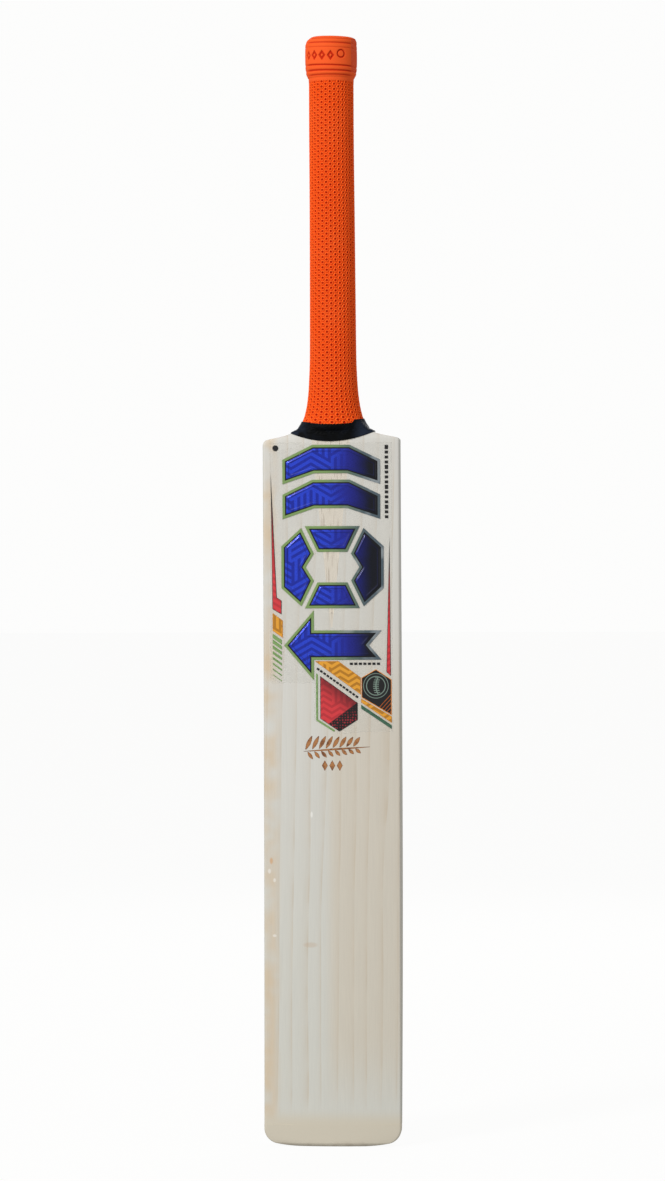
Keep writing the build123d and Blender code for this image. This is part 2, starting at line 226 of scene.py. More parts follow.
# ------------------------------------------------------------------ shader building
def srgb(red: int, green: int, blue: int) -> Colour:
    """A display colour, 0 to 255 a channel, as the linear colour that shaders take."""
    shares = [channel / 255 for channel in (red, green, blue)]
    linear = [share / 12.92 if share <= 0.04045 else ((share + 0.055) / 1.055) ** 2.4 for share in shares]
    return (*linear, 1.0)


def arithmetic(operation: str, swapped: bool = False) -> Callable[..., "Signal"]:
    """A method that adds one maths node, with its two values swapped for reflected operators."""
    def method(self: "Signal", *others: Number) -> "Signal":
        """Adds the node and returns its result."""
        values = (self, *others)
        return self.tree.math(operation, *(values[::-1] if swapped else values))
    return method


@dataclass(frozen=True)
class Signal:
    """One value in a shader tree. Python arithmetic on it adds the matching maths nodes."""

    tree: "Tree"
    socket: bpy.types.NodeSocket

    __add__ = __radd__ = arithmetic("ADD")
    __sub__, __rsub__ = arithmetic("SUBTRACT"), arithmetic("SUBTRACT", True)
    __mul__ = __rmul__ = arithmetic("MULTIPLY")
    __truediv__, __rtruediv__ = arithmetic("DIVIDE"), arithmetic("DIVIDE", True)
    __mod__, __pow__, __abs__ = arithmetic("MODULO"), arithmetic("POWER"), arithmetic("ABSOLUTE")
    fract, floor = arithmetic("FRACT"), arithmetic("FLOOR")


@dataclass(frozen=True)
class Tree:
    """Short-hand for filling one node tree."""

    tree: bpy.types.NodeTree

    def feed(self, target: bpy.types.NodeSocket, value: Value) -> None:
        """Links a signal to target, or sets a constant on it."""
        if isinstance(value, Signal):
            self.tree.links.new(value.socket, target)
        else:
            target.default_value = value

    def node(self, kind: str, output: int | str = 0, inputs: dict[int | str, Value] | None = None,
             **settings: object) -> Signal:
        """Adds a shader node.

        Args:
            kind: the node's type, without its prefix.
            output: the output that is wanted, by number or name.
            inputs: values by input number or name.
            settings: the node's properties.
        Returns:
            The wanted output.
        """
        made = self.tree.nodes.new("ShaderNode" + kind)
        for name, value in settings.items():
            setattr(made, name, value)
        for label, value in (inputs or {}).items():
            self.feed(made.inputs[label], value)
        return Signal(self, made.outputs[output])

    def math(self, operation: str, *values: Number, clamp: bool = False) -> Signal:
        """One maths step on signals or numbers."""
        return self.node("Math", 0, dict(enumerate(values)), operation=operation, use_clamp=clamp)

    def step(self, value: Number, low: float, high: float) -> Signal:
        """Smooth 0 to 1 as value goes from low to high; 1 to 0 where low is the larger."""
        limits = (high, low, 1.0, 0.0) if low > high else (low, high, 0.0, 1.0)
        return self.node("MapRange", 0, dict(enumerate((value, *limits))), interpolation_type="SMOOTHSTEP")

    def blend(self, share: Number, base: Value, top: Value, mode: str = "MIX") -> Signal:
        """Colour mix of base and top."""
        return self.node("Mix", 2, {0: share, 6: base, 7: top}, data_type="RGBA", blend_type=mode,
                         clamp_factor=True)

    def grey(self, colour: Value, amount: Signal) -> Signal:
        """A colour with every channel multiplied by one amount."""
        return self.blend(1.0, colour, self.vector(amount, amount, amount), "MULTIPLY")

    def noise(self, vector: Signal, detail: float = 2.0, roughness: float = 0.5) -> Signal:
        """Smooth noise about 0.5, one unit of the vector wide."""
        inputs = {"Vector": vector, "Scale": 1.0, "Detail": detail, "Roughness": roughness}
        return self.node("TexNoise", "Fac", inputs)

    def cells(self, vector: Signal, scale: float, randomness: float = 1.0) -> Signal:
        """Distance to the nearest of many scattered centres."""
        inputs = {"Vector": vector, "Scale": scale, "Randomness": randomness}
        return self.node("TexVoronoi", "Distance", inputs, feature="F1")

    def scaled(self, vector: Signal, scale: Number) -> Signal:
        """A vector times a number."""
        return self.node("VectorMath", 0, {0: vector, "Scale": scale}, operation="SCALE")

    def split(self, vector: Signal) -> list[Signal]:
        """The x, y and z of a vector."""
        return [self.node("SeparateXYZ", axis, {0: vector}) for axis in range(3)]

    def vector(self, x: Number, y: Number, z: Number) -> Signal:
        """Three numbers as a vector."""
        return self.node("CombineXYZ", 0, {0: x, 1: y, 2: z})

    def mark(self, name: str) -> Signal:
        """A per-vertex value of the piece."""
        return self.node("Attribute", "Fac", attribute_name=name)

    def bump(self, height: Signal, strength: float, distance: float) -> Signal:
        """Normal bent by a height."""
        return self.node("Bump", 0, {"Strength": strength, "Distance": distance, "Height": height})

    def spot(self, x: Signal, z: Signal, centre: Place2, radius: Place2) -> Signal:
        """Soft oval mask, 1 at its centre, in the front view's millimetres."""
        far = ((x - centre[0]) / radius[0]) ** 2.0 + ((z - centre[1]) / radius[1]) ** 2.0
        return self.step(far, 1.0, 0.1)


class EffectGroup:
    """A shader node group, built once and placed in each material that uses the effect.

    Its first input is the place in millimetres. The others are numbers, listed with their defaults.
    """

    name = "effect"
    inputs: dict[str, float] = {}
    outputs: tuple[str, ...] = ()

    def __init__(self) -> None:
        """Builds the group's tree."""
        self.group = bpy.data.node_groups.new(self.name, "ShaderNodeTree")
        face = self.group.interface
        face.new_socket("Place", in_out="INPUT", socket_type="NodeSocketVector")
        for label, default in self.inputs.items():
            face.new_socket(label, in_out="INPUT", socket_type="NodeSocketFloat").default_value = default
        for label in self.outputs:
            face.new_socket(label, in_out="OUTPUT", socket_type="NodeSocketFloat")
        tree = Tree(self.group)
        source, target = (self.group.nodes.new(kind) for kind in ("NodeGroupInput", "NodeGroupOutput"))
        given = [Signal(tree, socket) for socket in source.outputs[: len(self.inputs) + 1]]
        for number, signal in enumerate(self.fill(tree, *given)):
            tree.feed(target.inputs[number], signal)

    def fill(self, tree: Tree, place: Signal, *values: Signal) -> tuple[Signal, ...]:
        """Adds the group's own nodes and returns its outputs in order."""
        raise NotImplementedError

    def put(self, tree: Tree, place: Signal, *values: Number) -> tuple[Signal, ...]:
        """Places the group in a material.

        Args:
            tree: the material's tree.
            place: the place in millimetres.
            values: the other inputs in order; those left out keep their defaults.
        Returns:
            The placed group's outputs in order.
        """
        first = tree.node("Group", 0, dict(enumerate((place, *values))), node_tree=self.group)
        return tuple(Signal(tree, socket) for socket in first.socket.node.outputs)


class GrainEffect(EffectGroup):
    """Wood grain that runs along Z: slow growth lines across X and fine fibres."""

    name = "timber_grain"
    inputs = {"Line Spacing": 11.8, "Lean": 0.02, "Waviness": 2.4, "Fibre Scale": 1.1}
    outputs = ("Lines", "Tone", "Fibres")

    def fill(self, tree: Tree, place: Signal, *values: Signal) -> tuple[Signal, ...]:
        """Lines sit where (x - lean z + 0.35 y + two slow noises) / spacing is whole, darker on one side.

        One noise wanders along the grain; the other, of 0.1 x, makes the spacing uneven across it.
        """
        spacing, lean, waviness, fibre_scale = values
        x, y, z = tree.split(place)
        wander = tree.noise(tree.vector(x * 0.02, 0.0, z * 0.006), 1.0) - 0.5
        uneven = tree.noise(tree.vector(x * 0.1, 7.0, z * 0.002), 0.0) - 0.5
        share = ((x - z * lean + y * 0.35 + uneven * 9.0 + wander * waviness * 2.0) / spacing).fract()
        fibres = tree.noise(tree.vector(x * fibre_scale, y * fibre_scale, z * 0.03), 4.0, 0.6)
        return share**9.0, share**2.0, fibres


class MottleEffect(EffectGroup):
    """Fine moulded or printed speckle with a slow cloud under it."""

    name = "fine_mottle"
    inputs = {"Speck Size": 0.4, "Cloud Size": 14.0}
    outputs = ("Specks", "Cloud")

    def fill(self, tree: Tree, place: Signal, *values: Signal) -> tuple[Signal, ...]:
        """Two noises, each scaled by one over its own size."""
        return tuple(tree.noise(tree.scaled(place, 1.0 / size), detail)
                     for size, detail in zip(values, (3.0, 2.0)))


class FoldedBarsEffect(EffectGroup):
    """Printed bars that run upright in one column and fold into slanted bars in the next."""

    name = "folded_bars"
    inputs = {"Column Width": 17.0, "Bar Pitch": 5.4, "Slope": 0.58}
    outputs = ("Bars",)

    def fill(self, tree: Tree, place: Signal, *values: Signal) -> tuple[Signal, ...]:
        """Slanted bars follow z + slope |x - column middle|; upright bars follow x, in every third cell."""
        width, pitch, slope = values
        x, _, z = tree.split(place)
        column = x / width
        folded = z + abs(column.fract() - 0.5) * width * slope
        cell = (folded / (pitch * 3.0)).floor() + column.floor()
        choose = tree.step(abs(cell) % 3.0, 0.6, 0.4)
        slanted = tree.step((folded / pitch).fract(), 0.52, 0.56)
        upright = tree.step((x / (pitch * 0.9)).fract(), 0.48, 0.52)
        return (upright * choose + slanted * (1.0 - choose),)


@dataclass
class Effects:
    """The node groups that the finishes share."""

    grain: GrainEffect = field(default_factory=GrainEffect)
    mottle: MottleEffect = field(default_factory=MottleEffect)
    bars: FoldedBarsEffect = field(default_factory=FoldedBarsEffect)


@dataclass(frozen=True)
class Spot:
    """What every finish starts from: the place in millimetres, whole and split, and the mottle there."""

    place: Signal
    x: Signal
    y: Signal
    z: Signal
    specks: Signal
    cloud: Signal


@dataclass(frozen=True)
class Finish:
    """A material. Each kind of finish says how it fills the shader.

    Attributes:
        name: the material's name.
        effects: the shared node groups.
        sizes: the mottle's speck and cloud sizes in millimetres.
    """

    name: str
    effects: Effects
    sizes: ClassVar[tuple[float, float]] = (0.5, 9.0)

    def made(self) -> bpy.types.Material:
        """Builds the material round one Principled shader."""
        material = bpy.data.materials.new(self.name)
        material.use_nodes = True
        tree = Tree(material.node_tree)
        place = tree.scaled(tree.node("TexCoord", "Object"), 1 / MM)
        at = Spot(place, *tree.split(place), *self.effects.mottle.put(tree, place, *self.sizes))
        shader = material.node_tree.nodes["Principled BSDF"]
        for label, value in self.dress(tree, at).items():
            tree.feed(shader.inputs[label], value)
        return material

    def dress(self, tree: Tree, at: Spot) -> dict[str, Value]:
        """Returns a value for each shader input that the finish sets."""
        raise NotImplementedError


@dataclass(frozen=True)
class WillowFinish(Finish):
    """Sanded pale willow: creamy face with thin growth lines, a tan streak on the left, and painted shade that
    greys the rounded edges.

    Attributes:
        marks: small ovals, each a centre, radii, a colour and a strength.
    """

    sizes = (0.5, 26.0)
    pale: Colour = srgb(208, 206, 199)
    low: Colour = srgb(203, 202, 193)
    line: Colour = srgb(188, 170, 144)
    warm: Colour = srgb(203, 191, 171)
    streak: Colour = srgb(206, 182, 148)
    edge: Colour = srgb(176, 178, 168)
    toe: Colour = srgb(203, 195, 177)
    chalk: Colour = srgb(240, 238, 232)
    marks: tuple[tuple[Place2, Place2, Colour, float], ...] = (
        ((-47.5, 221.0), (1.6, 3.2), srgb(206, 150, 90), 0.6),
        ((-17.0, 156.0), (7.0, 2.6), srgb(188, 160, 128), 0.35),
        ((-16.0, 257.0), (1.2, 3.0), chalk, 0.6),
        ((-49.0, 213.0), (1.6, 2.4), chalk, 0.5),
        ((-45.0, 206.0), (1.4, 2.0), chalk, 0.5),
        ((-45.0, 163.0), (2.0, 1.4), chalk, 0.5),
    )

    def dress(self, tree: Tree, at: Spot) -> dict[str, Value]:
        """Layers height tint, grain, streak, warm patch, painted shade on the edges and small marks."""
        x, z = at.x, at.z
        lines, tone, fibres = self.effects.grain.put(tree, at.place)
        colour = tree.blend(tree.step(z, 60.0, 430.0), self.low, self.pale)
        patch = tree.step(x, -8.0, 4.0) * tree.step(z, 20.0, 90.0) * tree.step(z, 420.0, 300.0)
        colour = tree.blend(patch * 0.55, colour, self.warm)
        fade, patchy = tree.step(z, 24.0, 42.0), tree.step(at.cloud, 0.3, 0.7)
        colour = tree.blend(lines * patchy * 0.4 * fade + tone * 0.14 * fade, colour, self.line)
        side = x + (at.cloud - 0.5) * 16.0
        streak = tree.step(side, -38.0, -46.0) * tree.step(side, -60.0, -50.0) * patchy * 0.75
        colour = tree.grey(tree.blend(streak, colour, self.streak), fibres * 0.14 + 0.93)
        for centre, radius, tint, strength in self.marks:
            colour = tree.blend(tree.spot(x, z, centre, radius) * strength, colour, tint)
        # painted shade: the rounded side edges are greyed
        colour = tree.blend(tree.step(abs(x), 51.8, 53.4) * 0.4, colour, self.edge)
        colour = tree.blend(1.0 - tree.step(z, 17.0, 31.0), colour, self.toe)
        return {"Base Color": colour, "Roughness": fibres * 0.14 + 0.5,
                "Normal": tree.bump(fibres + lines * -0.3, 0.16, 0.0002)}


@dataclass(frozen=True)
class CaneFinish(Finish):
    """Bare cane: straw colour with dark vessel dots on the ends and long fibres on the sides."""

    straw: Colour = srgb(218, 210, 196)
    fibre: Colour = srgb(208, 194, 172)
    pore: Colour = srgb(132, 100, 66)
    grain: tuple[float, ...] = (3.1, 0.02, 0.8, 2.6)

    def dress(self, tree: Tree, at: Spot) -> dict[str, Value]:
        """Fibres along Z, and dots from cells drawn across X and Y only."""
        lines, _, fibres = self.effects.grain.put(tree, at.place, *self.grain)
        dots = tree.step(tree.cells(tree.vector(at.x, at.y, 0.0), 1.5), 0.3, 0.16)
        colour = tree.blend(fibres * 0.4, self.straw, self.fibre)
        colour = tree.blend(lines * 0.15, colour, self.fibre)
        return {"Base Color": tree.blend(dots * 0.75, colour, self.pore), "Roughness": dots * 0.2 + 0.5,
                "Normal": tree.bump(dots, -0.3, 0.0003)}


@dataclass(frozen=True)
class RubberFinish(Finish):
    """Moulded rubber with fine dust; painted shade darkens the holes, grooves and valleys between rings, and a
    painted highlight lightens the rings.

    Attributes:
        form: the sleeve whose dimples are drawn.
        base: colour of the raised surface.
        deep: painted shade colour for the bottom of each hole, the grooves and the valleys.
        wear_and_painted_light: paler colour, for rubbed patches and for the painted highlight on the rings.
        dull: colour of the cuff, which has no dimples.
        gloss: roughness of the clean surface.
    """

    form: "GripForm"
    sizes = (0.35, 22.0)
    base: Colour = srgb(252, 90, 22)
    deep: Colour = srgb(178, 20, 6)
    wear_and_painted_light: Colour = srgb(255, 108, 44)
    dull: Colour = srgb(234, 92, 44)
    gloss: float = 0.58

    def dimples(self, tree: Tree, z: Signal) -> Signal:
        """Distance to the nearest dimple: the smaller of two rectangular lattices', folded by ping-pong."""
        turn = tree.math("ARCTAN2", tree.mark("turn_sine"), tree.mark("turn_cosine"))
        across, along = turn * self.form.radius, z - self.form.neck
        step, half = FULL_TURN * self.form.radius / self.form.columns, self.form.pitch / 2
        found = []
        for shift, rise in ((0.0, half), (step, 0.0)):
            folded = (tree.math("PINGPONG", across + shift, step), tree.math("PINGPONG", along + rise, half))
            found.append(tree.node("VectorMath", "Value", {0: tree.vector(*folded, 0.0)}, operation="LENGTH"))
        return tree.math("MINIMUM", *found)

    def dress(self, tree: Tree, at: Spot) -> dict[str, Value]:
        """Base tinted by clouds, a painted highlight on the rings, then painted shade in holes, grooves and
        valleys.
        """
        far, dimpled = self.dimples(tree, at.z), tree.mark("dimpled")
        hole = tree.step(far, 1.0, 0.6) * dimpled
        valley = tree.step(far, 1.5, 1.95) * dimpled
        ring = tree.step(far, 0.9, 1.15) * tree.step(far, 1.65, 1.4) * dimpled
        colour = tree.blend(tree.step(at.cloud, 0.45, 0.75) * 0.3, self.base, self.wear_and_painted_light)
        # painted highlight: the raised rings round the holes are lightened
        colour = tree.blend(ring * 0.8, colour, self.wear_and_painted_light)
        colour = tree.blend((1.0 - dimpled) * 0.75, colour, self.dull)
        # painted shade: holes, valleys, and the cuff's grooves, pressed marks and facet are darkened
        painted_shade = tree.math("MAXIMUM", tree.mark("painted_shade"), hole + valley * 0.3, clamp=True)
        height = ring * 0.5 - (hole + valley * 0.6) + at.specks * 0.02
        return {"Base Color": tree.blend(painted_shade, colour, self.deep), "Roughness": at.specks * 0.16 + self.gloss,
                "Normal": tree.bump(height, 0.55, 0.0006), "Specular IOR Level": 0.04}


@dataclass(frozen=True)
class TapeFinish(Finish):
    """Stretched black PVC tape: near black with a painted cool sheen, a painted glint at its ends and faint
    stretch lines.
    """

    sizes = (0.3, 9.0)
    black: Colour = srgb(8, 9, 10)
    painted_sheen: Colour = srgb(14, 18, 25)
    painted_glint: Colour = srgb(34, 42, 56)

    def dress(self, tree: Tree, at: Spot) -> dict[str, Value]:
        """Painted cool sheen in clouds over the black, a painted glint at both ends, and stretch lines that run
        round the neck.
        """
        lines = tree.noise(tree.vector(at.x * 0.05, at.y * 0.05, at.z * 1.4), 3.0)
        colour = tree.blend(tree.step(at.cloud, 0.4, 0.8), self.black, self.painted_sheen)
        # painted glint: lighter bluish colour at the left and right ends of the tape
        ends = tree.step(abs(at.x), 15.0, 26.0) * tree.step(at.cloud, 0.3, 0.6)
        return {"Base Color": tree.blend(ends * 0.8, colour, self.painted_glint), "Roughness": lines * 0.16 + 0.48,
                "Normal": tree.bump(lines, 0.1, 0.0003), "Specular IOR Level": 0.04}


@dataclass(frozen=True)
class ToeFinish(Finish):
    """Beige moulded toe cover, matt, with fine specks and scuffs low down."""

    beige: Colour = srgb(204, 196, 178)
    scuff: Colour = srgb(170, 158, 140)

    def dress(self, tree: Tree, at: Spot) -> dict[str, Value]:
        """Even beige with faint specks, darker scuffs close to the ground."""
        low = tree.step(at.z, 6.0, 0.0) * tree.step(at.cloud, 0.45, 0.7) * 0.6
        colour = tree.blend(at.specks * 0.12, self.beige, self.scuff)
        return {"Base Color": tree.blend(low, colour, self.scuff), "Roughness": at.specks * 0.15 + 0.55,
                "Normal": tree.bump(at.specks, 0.1, 0.0002)}


@dataclass(frozen=True)
class FilmFinish(Finish):
    """Clear label film: nearly invisible, with a soft gloss and a faint yellowing."""

    sizes = (0.6, 30.0)
    tint: Colour = srgb(240, 240, 236)
    cut_edge: Colour = srgb(224, 222, 214)
    cover: float = 0.03

    def dress(self, tree: Tree, at: Spot) -> dict[str, Value]:
        """Mostly clear; a little fuller at its very rim, where the cut edge catches light."""
        rim = tree.step(tree.mark("rim"), 0.5, 0.1)
        return {"Base Color": tree.blend(rim, self.tint, self.cut_edge), "Alpha": rim * 0.1 + self.cover,
                "Roughness": at.specks * 0.08 + 0.32}


class Print(Enum):
    """The printed colour schemes on the face, each a base, a bar and a key line colour."""

    RED = (srgb(208, 52, 58), srgb(176, 40, 48), srgb(18, 16, 18))
    GOLD = (srgb(224, 156, 44), srgb(166, 108, 16), srgb(196, 126, 24))
    GREEN = (srgb(122, 156, 92), srgb(112, 146, 84), srgb(112, 146, 84))
    DARK_GREEN = (srgb(62, 100, 78), srgb(52, 88, 68), srgb(52, 88, 68))
    BLACK = (srgb(14, 14, 16), srgb(20, 20, 22), srgb(20, 20, 22))
    BADGE = (srgb(14, 14, 16), srgb(16, 16, 18), srgb(226, 138, 38))


@dataclass(frozen=True)
class PrintFinish(Finish):
    """Printed vinyl: a base colour, folded bars of a second colour and a thin dark key line.

    Attributes:
        scheme: which of the printed colour schemes.
        key: width of the key line along the outline, in millimetres.
    """

    scheme: Print
    key: float = 0.35
    sizes = (0.5, 12.0)

    def dress(self, tree: Tree, at: Spot) -> dict[str, Value]:
        """Lays the bars on the scheme's colours and draws the key line from the rim distance."""
        base, second, line = self.scheme.value
        (bars,) = self.effects.bars.put(tree, at.place, 13.0, 4.8, 0.6)
        colour = self.special(tree, tree.blend(bars * 0.85, base, second), at)
        colour = tree.grey(colour, at.specks * 0.2 + 0.9)
        if self.key > 0:
            colour = tree.blend(tree.step(tree.mark("rim"), self.key + 0.06, self.key), colour, line)
        return {"Base Color": colour, "Roughness": at.specks * 0.14 + 0.28}

    def special(self, tree: Tree, colour: Signal, at: Spot) -> Signal:
        """Red fades to black up the streaks; other schemes are left as they are."""
        if self.scheme is Print.RED:
            return tree.blend(tree.step(at.z, 440.0, 515.0), colour, srgb(16, 10, 12))
        return colour


@dataclass(frozen=True)
class ShieldFinish(PrintFinish):
    """The red shield: folded red bars, and a black corner with a red mesh."""

    def special(self, tree: Tree, colour: Signal, at: Spot) -> Signal:
        """The corner starts where x - 1.35 z passes a line, and its mesh is a small cell pattern."""
        corner = tree.step(at.x - (at.z - 343.0) * 1.35, 18.3, 18.8)
        dots = tree.step(tree.cells(tree.vector(at.x, 0.0, at.z), 0.5, 0.35), 0.4, 0.28)
        mesh = tree.blend(dots * tree.step(at.z, 344.0, 328.0), srgb(16, 7, 10), srgb(150, 34, 46))
        shade = tree.step(at.x + at.z * 1.2, 408.0, 436.0)
        return tree.blend(corner, tree.blend(shade * 0.8, colour, srgb(40, 8, 14)), mesh)


@dataclass(frozen=True)
class BadgeFinish(PrintFinish):
    """The black badge: an orange key line, orange hatching, and a plain ball with a stitched seam."""

    centre: Place2 = (34.2, 356.8)
    silver: Colour = srgb(124, 144, 132)
    orange: Colour = srgb(190, 92, 20)

    def special(self, tree: Tree, colour: Signal, at: Spot) -> Signal:
        """Rings at set radii round the centre, a curved seam between them and slanted hatch lines."""
        dx, dz = at.x - self.centre[0], at.z - self.centre[1]
        radius = tree.math("SQRT", dx**2.0 + dz**2.0)
        outer = tree.step(radius, 9.2, 9.4) * tree.step(radius, 9.9, 9.7)
        inner = tree.step(radius, 6.8, 7.0) * tree.step(radius, 7.7, 7.5)
        bend = abs(dx - dz**2.0 * 0.04)
        seam = tree.step(bend, 0.5, 0.35) * tree.step(radius, 6.9, 6.7)
        beat = tree.step((dz * 0.62).fract(), 0.58, 0.64)
        stitch = beat * tree.step(bend, 2.3, 2.1) * tree.step(radius, 6.6, 6.4)
        marks = tree.math("MAXIMUM", tree.math("MAXIMUM", outer, inner), tree.math("MAXIMUM", seam, stitch))
        drawn = tree.blend(marks * 0.9, colour, self.silver)
        hatch = tree.step(((dx + dz * -0.9) / 3.0).fract(), 0.76, 0.8)
        lines = hatch * tree.step(dx - dz, 17.0, 17.6) * tree.step(radius, 10.2, 10.6)
        return tree.blend(lines * 0.8, drawn, self.orange)


@dataclass(frozen=True)
class EmblemFinish(Finish):
    """Domed blue foil: green border, black key line, folded bars, fading to navy on the right.

    Attributes:
        border: width of the green border, in millimetres.
        key: how far in the key line ends, in millimetres.
    """

    border: float = 1.95
    key: float = 2.95
    sizes = (0.45, 16.0)

    def dress(self, tree: Tree, at: Spot) -> dict[str, Value]:
        """Reads the distance from the outline to choose border, key line or fill."""
        (bars,) = self.effects.bars.put(tree, at.place, 31.0, 5.3)
        shift = at.x + (at.cloud - 0.5) * 8.0
        fill = tree.blend(bars * 0.8, srgb(38, 66, 206), srgb(20, 34, 146))
        fill = tree.blend(tree.step(shift, -6.0, 16.0), fill, srgb(32, 38, 146))
        fill = tree.blend(tree.step(shift, 8.0, 32.0), fill, srgb(10, 14, 26))
        rim = tree.mark("rim")
        # painted shade: a dark line along the inner slope of the raised ridge
        groove = tree.step(rim, 4.5, 4.75) * tree.step(rim, 5.2, 5.0) * 0.55
        fill = tree.blend(groove, tree.grey(fill, at.specks + 0.5), srgb(12, 18, 70))
        green = tree.blend(tree.step(shift, -12.0, 30.0), srgb(122, 150, 90), srgb(76, 90, 98))
        # painted reflection: whitish patches on the green border
        wear_and_painted_light = tree.step(at.cloud, 0.5, 0.68) * tree.step(at.x, -10.0, 20.0) * 0.5
        green = tree.blend(wear_and_painted_light, green, srgb(170, 176, 178))
        colour = tree.blend(tree.step(rim, self.border - 0.05, self.border + 0.05), green, srgb(5, 6, 9))
        colour = tree.blend(tree.step(rim, self.key - 0.05, self.key + 0.05), colour, fill)
        return {"Base Color": colour, "Roughness": at.specks * 0.2 + 0.2,
                "Metallic": tree.step(rim, self.key, self.key + 0.3) * 0.25,
                "Normal": tree.bump(at.specks, 0.06, 0.0002), "Specular IOR Level": 0.3,
                "Coat Weight": 0.25, "Coat Roughness": 0.12}


@dataclass(frozen=True)
class BurntFinish(Finish):
    """Marks burnt lightly into the wood: toasted brown, darker in places."""

    sizes = (0.8, 5.0)
    toasted: Colour = srgb(170, 114, 64)
    dark: Colour = srgb(104, 58, 24)

    def dress(self, tree: Tree, at: Spot) -> dict[str, Value]:
        """Brown clouded by the mottle, darker towards each stroke's rim."""
        share = tree.math("MAXIMUM", tree.step(at.cloud, 0.45, 0.7), tree.step(tree.mark("rim"), 0.5, 0.1))
        return {"Base Color": tree.blend(share, self.toasted, self.dark), "Roughness": at.specks * 0.2 + 0.6}


@dataclass(frozen=True)
class SpringFinish(Finish):
    """Sheet rubber or cork between the cane layers.

    Attributes:
        base: main colour.
        fleck: colour of the flecks.
    """

    sizes = (0.7, 6.0)
    base: Colour = srgb(26, 26, 28)
    fleck: Colour = srgb(60, 58, 58)

    def dress(self, tree: Tree, at: Spot) -> dict[str, Value]:
        """Base colour with small flecks."""
        share = tree.step(at.specks, 0.5, 0.7)
        return {"Base Color": tree.blend(share, self.base, self.fleck), "Roughness": share * 0.2 + 0.6}


@dataclass(frozen=True)
class TwineFinish(Finish):
    """Thread wound round the handle, as fine rings of cream cord."""

    sizes = (0.4, 8.0)
    cream: Colour = srgb(214, 204, 176)
    gap: Colour = srgb(120, 104, 76)

    def dress(self, tree: Tree, at: Spot) -> dict[str, Value]:
        """One ring of thread each millimetre of height, with painted shade in the gaps between turns."""
        turn = abs(at.z.fract() - 0.5)
        # painted shade: the gaps between neighbouring turns are darkened
        colour = tree.blend(tree.step(turn, 0.36, 0.5), self.cream, self.gap)
        colour = tree.blend(at.cloud * 0.3, colour, self.gap)
        return {"Base Color": colour, "Roughness": at.specks * 0.2 + 0.7, "Normal": tree.bump(turn, -0.6, 0.0006)}


